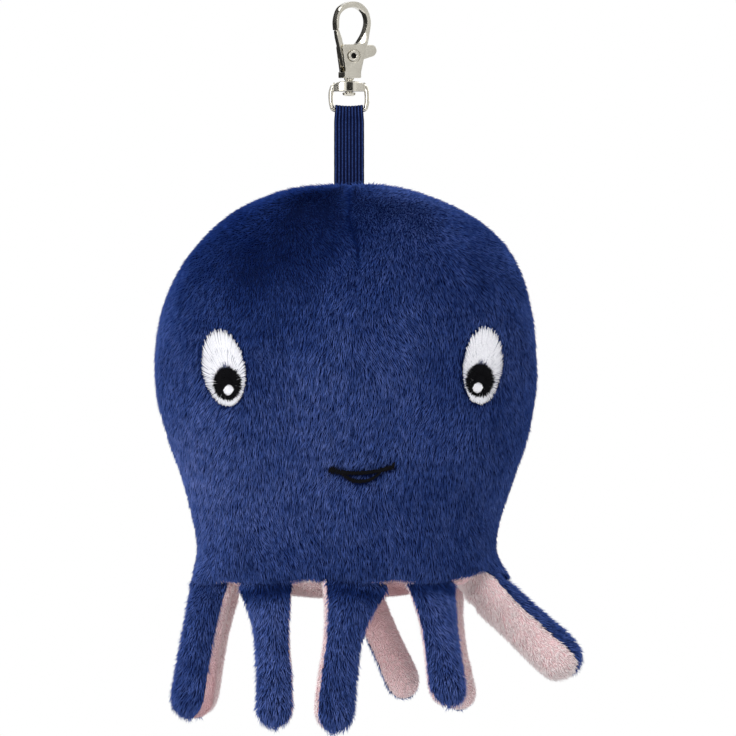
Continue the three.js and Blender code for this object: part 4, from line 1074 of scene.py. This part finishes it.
def pile_tree():
    """Plants leaning three-sided tufts over a patch of plush, each turned along the nap."""
    tree, given = new_tree("pile", "Pile", Patch="Geometry", Tufts_per_square_metre="Float", Closest="Float",
                           Tuft_length="Float", Tuft_width="Float", Lie="Float", Stray="Float",
                           Lock_width="Float", Locks="Float", Seed="Int", Finish="Material")
    cover, nap, tall = (
        add(tree, "GeometryNodeInputNamedAttribute", {"data_type": kind}, Name=name).outputs["Attribute"]
        for name, kind in (("cover", "FLOAT"), ("nap", "FLOAT_VECTOR"), ("tall", "FLOAT")))
    spots = add(tree, "GeometryNodeDistributePointsOnFaces", {"distribute_method": "POISSON"},
                Mesh=given["Patch"], Distance_Min=given["Closest"], Density_Max=given["Tufts per square metre"],
                Density_Factor=cover, Seed=given["Seed"])
    swirl = add(tree, "ShaderNodeTexNoise", Scale=maths(tree, "DIVIDE", 1.0, given["Lock width"]), Detail=1.0)
    centred = maths(tree, "SUBTRACT", swirl.outputs["Color"], (0.5, 0.5, 0.5), kind="ShaderNodeVectorMath")
    leaning = spots.outputs["Normal"]
    for vector, share in ((nap, "Lie"), (centred, "Locks"),
                          (chance_of(tree, "VECTOR", (-1, -1, -1), (1, 1, 1), Seed=given["Seed"]), "Stray")):
        leaning = maths(tree, "ADD", leaning, scaled(tree, vector, given[share]), kind="ShaderNodeVectorMath")
    turn = add(tree, "FunctionNodeAlignRotationToVector", {"axis": "Z"}, Vector=leaning)
    tuft = add(tree, "GeometryNodeMeshCone", {"fill_type": "NGON"}, Vertices=3, Radius_Top=0.0,
               Radius_Bottom=maths(tree, "MULTIPLY", given["Tuft width"], 0.5), Depth=given["Tuft length"])
    place = add(tree, "ShaderNodeSeparateXYZ", Vector=add(tree, "GeometryNodeInputPosition").outputs[0])
    tuft = marked(tree, tuft.outputs["Mesh"], "POINT", "tip",
                  maths(tree, "DIVIDE", place.outputs["Z"], given["Tuft length"]))
    stretch = add(tree, "ShaderNodeCombineXYZ", X=1.0, Y=1.0,
                  Z=maths(tree, "MULTIPLY", chance_of(tree, low=0.7, high=1.25), tall))
    planted = add(tree, "GeometryNodeInstanceOnPoints", Points=spots.outputs["Points"], Instance=tuft,
                  Rotation=turn.outputs["Rotation"], Scale=stretch.outputs["Vector"])
    toned = marked(tree, planted.outputs["Instances"], "INSTANCE", "tone", chance_of(tree))
    return ended(tree, toned, given["Finish"])


pile = pile_tree()


def pile_finish(name, root, body, tip, sheen_tint, sheen, shine, painted_shade_powers, locks):
    """Tufts painted darker at their roots, as shade deep in the pile, and paler towards their tips. The cast attribute
    is painted light and shade: where it is low, each colour deepens by its own power.
    """
    finish, tree, shader = new_finish(name, body, 0.85)
    up, tone, cast = (add(tree, "ShaderNodeAttribute", {"attribute_name": each}).outputs["Fac"]
                      for each in ("tip", "tone", "cast"))
    colour = shades(tree, maths(tree, "MULTIPLY_ADD", tone, 0.45, up), [(0.0, root), (0.55, body), (1.0, tip)])
    place = maths(tree, "MULTIPLY", add(tree, "ShaderNodeTexCoord").outputs["Object"], (1.0, 1.0, 0.45),
                  kind="ShaderNodeVectorMath")
    clumps = between(tree, grain(tree, 620.0, 1.5, 0.5, place), *locks, 0.34, 0.66)
    # The painted light and shade, varied by random locks.
    depth = maths(tree, "MULTIPLY", cast, clumps)
    deep = add(tree, "ShaderNodeCombineColor", **{channel: maths(tree, "POWER", depth, power) for channel, power
                                                  in zip(("Red", "Green", "Blue"), painted_shade_powers)})
    dimmed = add(tree, "ShaderNodeMix", {"data_type": "RGBA", "blend_type": "MULTIPLY"}, Factor=1.0)
    colours = [socket for socket in dimmed.inputs if socket.type == "RGBA"]
    tree.links.new(colour, colours[0])
    tree.links.new(deep.outputs["Color"], colours[1])
    fit(tree, shader, Base_Color=[socket for socket in dimmed.outputs if socket.type == "RGBA"][0],
        Roughness=between(tree, tone, 0.7, 0.95, 0.0, 1.0), Sheen_Weight=sheen, Sheen_Roughness=0.35,
        Sheen_Tint=(*sheen_tint, 1.0), Specular_IOR_Level=shine)
    return finish


# Each pile's root colour is painted shade deep in the pile, and its powers set how the painted shade tints each colour.
navy_pile = pile_finish("navy plush pile", (0.004, 0.010, 0.045), (0.027, 0.052, 0.192), (0.057, 0.108, 0.37),
                        (0.25, 0.38, 0.9), 0.05, 0.0, (2.0, 1.5, 1.0), (0.79, 1.17))
pink_pile = pile_finish("pink plush pile", (0.91, 0.72, 0.73), (0.965, 0.82, 0.825), (0.985, 0.885, 0.89),
                        (1.0, 0.9, 0.9), 0.2, 0.05, (0.5, 1.25, 1.15), (0.95, 1.03))


def mouth_distance(x, z):
    gap = np.full(len(x), 1.0)
    for which, (reach, start, depth) in SMILE.items():
        line_x, line_z = smile_line(np.clip((x - MOUTH_AT[0]) / (MOUTH_HALF * reach), -1.0, 1.0), which)
        gap = np.minimum(gap, np.hypot(x - line_x, z - line_z))
    return gap


def combed(mesh, down, whorl, seed, **told):
    """Gives a patch its nap, how tall its pile stands, how much of it is covered and the light and shade painted on its
    pile.
    """
    place, facing = as_array(mesh), as_array(mesh, "normal")
    down = np.broadcast_to(np.asarray(down, float), place.shape)
    along = down - facing * np.sum(down * facing, axis=1)[:, None]
    along /= np.maximum(np.linalg.norm(along, axis=1)[:, None], 1e-6)
    aside = np.cross(facing, along)
    turn = whorl * lumps(place, 0.028, seed) + 0.35 * whorl * lumps(place, 0.009, seed + 3)
    nap = along * np.cos(turn)[:, None] + aside * np.sin(turn)[:, None]
    mesh.attributes.new("nap", "FLOAT_VECTOR", "POINT").data.foreach_set("vector", nap.astype(np.float32).ravel())
    for name in ("tall", "cover", "cast"):
        values = np.broadcast_to(told[name](place), len(place)).astype(np.float32)
        mesh.attributes.new(name, "FLOAT", "POINT").data.foreach_set("value", values)


def head_cover(place):
    """No pile where the thread is."""
    x, z = place[:, 0], place[:, 2]
    bare = mouth_distance(x, z) < 0.0008
    for at, size, lean, pupil_at, glint_at in EYES.values():
        bare |= oval_distance(x, z, at, (size[0] + 0.0004, size[1] + 0.0004), lean) < 1.0
    return np.where(bare & (place[:, 1] < 0.0), 0.0, 1.0)


def head_tall(place):
    """Shorter along the seams and beside the thread."""
    x, z, front = place[:, 0], place[:, 2], place[:, 1] < 0.0
    tall = 1.0 + 0.12 * lumps(place, 0.02, 21)
    tall *= 1 - 0.45 * bell(dart_distance(place), 0.0012)
    tall *= 1 - 0.35 * bell(place[:, 1], 0.0012)
    for at, size, lean, pupil_at, glint_at in EYES.values():
        near = np.clip(oval_distance(x, z, at, size, lean) - 1.0, 0, None)
        tall *= np.where(front, 1 - 0.45 * bell(near, 0.16), 1.0)
    return tall * np.where(front, 1 - 0.5 * bell(mouth_distance(x, z), 0.0016), 1.0)


def head_painted_light_and_shade(place):
    """Painted light and shade on the head's pile: lighter patches over the face, darker ones on the forehead and by the
    right eye, and a painted shade line along the dart.
    """
    x, z, front = place[:, 0], place[:, 2], (place[:, 1] < 0.0).astype(float)

    def patch(at_x, at_z, wide, tall):
        return np.exp(-((x - at_x) / wide) ** 2 - ((z - at_z) / tall) ** 2)

    cast = 1.0 + 0.20 * lumps(place, 0.024, 14) + 0.13 * lumps(place, 0.010, 17)
    # Painted light and shade in patches on the front of the head, over the random tone above.
    cast += front * (0.30 * patch(-0.008, -0.135, 0.036, 0.050) + 0.45 * patch(-0.058, -0.165, 0.024, 0.030)
                     - 0.66 * patch(-0.034, -0.082, 0.030, 0.026) - 0.35 * patch(-0.010, -0.066, 0.012, 0.014)
                     - 0.2 * patch(0.030, -0.122, 0.008, 0.012) - 0.14 * patch(0.006, -0.072, 0.040, 0.020))
    # A painted shade line along the dart's seam.
    cast -= 0.45 * bell(dart_distance(place), 0.0010) * front
    return np.clip(cast, 0.3, 1.6)


def planted(name, source, finish, seed, dense, apart, length, lie, stray, locks=0.9, keep=None):
    """The pile of one patch: the part of a sheet that is kept, grown over with tufts."""
    mesh = bpy.data.meshes.new(name)
    with reworked(mesh, source) as shape:
        drop = [face for face in shape.faces if keep and not keep(face.calc_center_median())]
        bmesh.ops.delete(shape, geom=drop, context="FACES")
    return grown(linked(name, mesh), pile, Tufts_per_square_metre=dense, Closest=apart, Tuft_length=length,
                 Tuft_width=TUFT_WIDTH, Lie=lie, Stray=stray, Lock_width=LOCK_WIDTH, Locks=locks, Seed=seed,
                 Finish=finish)


combed(head_sheet, (0, 0, -1), 0.8, 5, tall=head_tall, cover=head_cover, cast=head_painted_light_and_shade)
for quarter, (back, right) in enumerate([(0, 0), (0, 1), (1, 0), (1, 1)], 1):
    for rise in (0, 1):
        part = f"{('front', 'back')[back]}_{('left', 'right')[right]}_{('low', 'high')[rise]}"
        tufts = planted(f"head_pile_{part}", head_sheet, navy_pile, quarter * 2 + rise, 6400000.0, 0.00035,
                        PILE_LENGTH, 1.7, 0.26,
                        keep=lambda c: (c.y > 0, c.x > HEAD_SIDE, c.z > HEAD_WIDEST - 0.004) == (back, right, rise))
        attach(tufts, "plush")


def clear_of_roots(place):
    """The underside's pile stops where the tentacles are sewn in."""
    cover = np.full(len(place), 0.9)
    for root, turn, length, girth in tentacle_places.values():
        gap = (place - root) @ turn
        cover[np.hypot(gap[:, 0] / 0.0098, gap[:, 1] / 0.0055) < max(girth / 1.1, 1.0)] = 0.0
    return cover


# The underside's pile is painted darker at the front right, as shade between the tentacles there.
combed(underside_sheet, (0, -1, -0.2), 1.0, 6, tall=lambda place: 0.9, cover=clear_of_roots,
       cast=lambda place: 1.02 - 0.26 * bell(place[:, 0], 0.012, 0.016) * (place[:, 1] < 0.0))
tufts = planted("underside_pile", underside_sheet, pink_pile, 29, 5600000.0, 0.00037, PILE_LENGTH * 0.75, 1.2, 0.3)
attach(tufts, "plush")

# Painted light and shade on the tentacles: how dark the painted shade in each tentacle's crease at the hem is, how much
# lighter its navy is painted, and how light its pink is painted from the root to the tip.
CREASE_PAINTED_SHADE = {2: 0.95, 3: 0.62, 4: 0.75}
NAVY_PAINTED_LIGHT = {2: 1.35, 3: 1.23, 4: 1.33}
PINK_PAINTED_LIGHT_AND_SHADE = {1: (1.0, 0.68), 3: (1.0, 1.0), 5: (1.0, 1.02), 6: (0.96, 1.0), 7: (0.78, 0.97)}


def arm_cover(place):
    return np.where(place[:, 2] > HEM + 0.0006 + 0.006 * (place[:, 0] > 0.036), 0.0, 1.0)


for (number, side), (sheet, down, start, end) in tentacle_sheets.items():
    navy = side == "outer"
    root, turn, length, girth = tentacle_places[number]
    finish, lie = (navy_pile, 1.5) if navy else (pink_pile, 1.2)
    long, locks = (1.2, 1.3) if navy else (0.85, 0.9) if number == 5 else (0.55, 0.5)

    def arm_tall(place):
        along = (place - root) @ np.array(down)
        at_tip = np.clip((along - length + 0.006) / 0.006, 0.0, 1.0)
        return 1.0 + (-0.35 if number in (6, 7) else 0.35) * at_tip - 0.3 * bell(along, 0.002)

    # The light and shade painted on each tentacle's pile, over random mottling.
    def arm_painted_light_and_shade(place):
        along = (place - root) @ np.array(down)
        low, high = (NAVY_PAINTED_LIGHT.get(number, 1.08),) * 2 if navy else PINK_PAINTED_LIGHT_AND_SHADE.get(number, (0.98, 0.98))
        cast = low + (high - low) * np.clip(along / 0.04, 0.0, 1.0)
        mottle = 0.14 * lumps(place, 0.010, 40 + number) + 0.16 * lumps(place, 0.0028, 50 + number)
        # Painted shade in the crease where the tentacle goes in under the hem.
        painted_crease_shade = CREASE_PAINTED_SHADE.get(number, 0.0) * navy * bell(along, 0.0028, -0.0008)
        return np.clip(cast + mottle * (1.0 if navy else 0.12) - painted_crease_shade, 0.3, 1.6)

    combed(sheet, down, 0.5, 60 + number, tall=arm_tall, cover=arm_cover, cast=arm_painted_light_and_shade)
    tufts = planted(f"tentacle_{number}_pile_{side}", sheet, finish, 100 + number * 2 + navy, 6600000.0, 0.00034,
                    PILE_LENGTH * long, lie, 0.28, locks)
    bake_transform(tufts)

# The studio
# A pale floor well below the hanging charm, a white surround, soft lamps, and a long lens level with the charm.
CAMERA_AWAY, VIEW_WIDTH, VIEW_CENTRE = 4.0, 0.2453, (0.0063, -0.1202)
CHARM_MIDDLE = (0.0, 0.0, -0.12)
camera = linked("camera", bpy.data.cameras.new("camera"))
camera.location = (VIEW_CENTRE[0], -CAMERA_AWAY, VIEW_CENTRE[1])
camera.rotation_euler = (math.pi / 2, 0, 0)
camera.data.sensor_width = 36.0
camera.data.lens = 36.0 * CAMERA_AWAY / VIEW_WIDTH
camera.data.clip_end = 50.0
bpy.context.scene.camera = camera


def seen_directly(tree):
    """One for what the lens, a mirror finish or clear stuff sees, none for what lights the charm."""
    ray = add(tree, "ShaderNodeLightPath").outputs
    seen = maths(tree, "MAXIMUM", ray["Is Camera Ray"], ray["Is Glossy Ray"])
    return maths(tree, "MAXIMUM", seen, ray["Is Transmission Ray"])


floor_paint, tree, shader = new_finish("pale floor", (0.8, 0.8, 0.8), 0.9)
fit(tree, shader, Emission_Color=(1, 1, 1, 1),
    Emission_Strength=between(tree, seen_directly(tree), 0.0, 0.4, 0.0, 1.0))
floor_mesh = smooth_mesh("floor", [(-4, -4, -0.9), (4, -4, -0.9), (4, 4, -0.9), (-4, 4, -0.9)], [(0, 1, 2, 3)])
floor = linked("floor", floor_mesh, floor_paint)


def softbox(name, place, wide, tall, power):
    lamp = bpy.data.lights.new(name, "AREA")
    lamp.shape, lamp.size, lamp.size_y, lamp.energy = "RECTANGLE", wide, tall, power
    stand = linked(name, lamp)
    stand.location = place
    stand.rotation_euler = (Vector(CHARM_MIDDLE) - Vector(place)).to_track_quat("-Z", "Y").to_euler()


softbox("key", (-0.72, -1.05, 0.15), 0.7, 0.7, 13.5)
softbox("fill", (0.8, -0.8, 0.7), 0.7, 0.7, 7.5)
softbox("rim left", (-0.8, 0.7, 0.5), 0.5, 0.9, 5.0)
softbox("rim right", (0.9, 0.7, 0.3), 0.5, 0.9, 5.0)


def card(name, degrees, away, width, tall, overhead=None, tone=0.012):
    """A black or grey card that only the metal's reflections see, as beside a product on a photographer's table."""
    a = math.radians(degrees)
    centre = Vector((away * math.sin(a), -away * math.cos(a), -0.03 if overhead is None else overhead))
    aside = Vector((math.cos(a), math.sin(a), 0)) * (width / 2)
    up = Vector((0, 0, tall / 2)) if overhead is None else Vector((-math.sin(a), math.cos(a), 0)) * (tall / 2)
    corners = [centre - aside - up, centre + aside - up, centre + aside + up, centre - aside + up]
    board = linked(name, smooth_mesh(name, corners, [(0, 1, 2, 3)]), new_finish(name, (tone, tone, tone), 0.9)[0])
    board.visible_camera = board.visible_diffuse = board.visible_shadow = board.visible_transmission = False


card("card behind left", -140, 0.9, 0.95, 0.9)
card("card overhead", 0, 0.0, 1.1, 1.1, 0.8)
card("card left", -45, 1.0, 0.52, 1.1)
card("card lens", 2, 1.6, 0.6, 1.2)
card("card behind right", 118, 1.5, 0.5, 1.1)
card("grey card right", 46, 1.0, 0.8, 1.2, tone=0.7)

world = bpy.data.worlds.new("surround")
bpy.context.scene.world = world
world.use_nodes = True
fit(world.node_tree, world.node_tree.nodes["Background"], Color=(1, 1, 1, 1),
    Strength=between(world.node_tree, seen_directly(world.node_tree), 0.62, 1.0, 0.0, 1.0))

bpy.context.scene.view_settings.view_transform = "Standard"
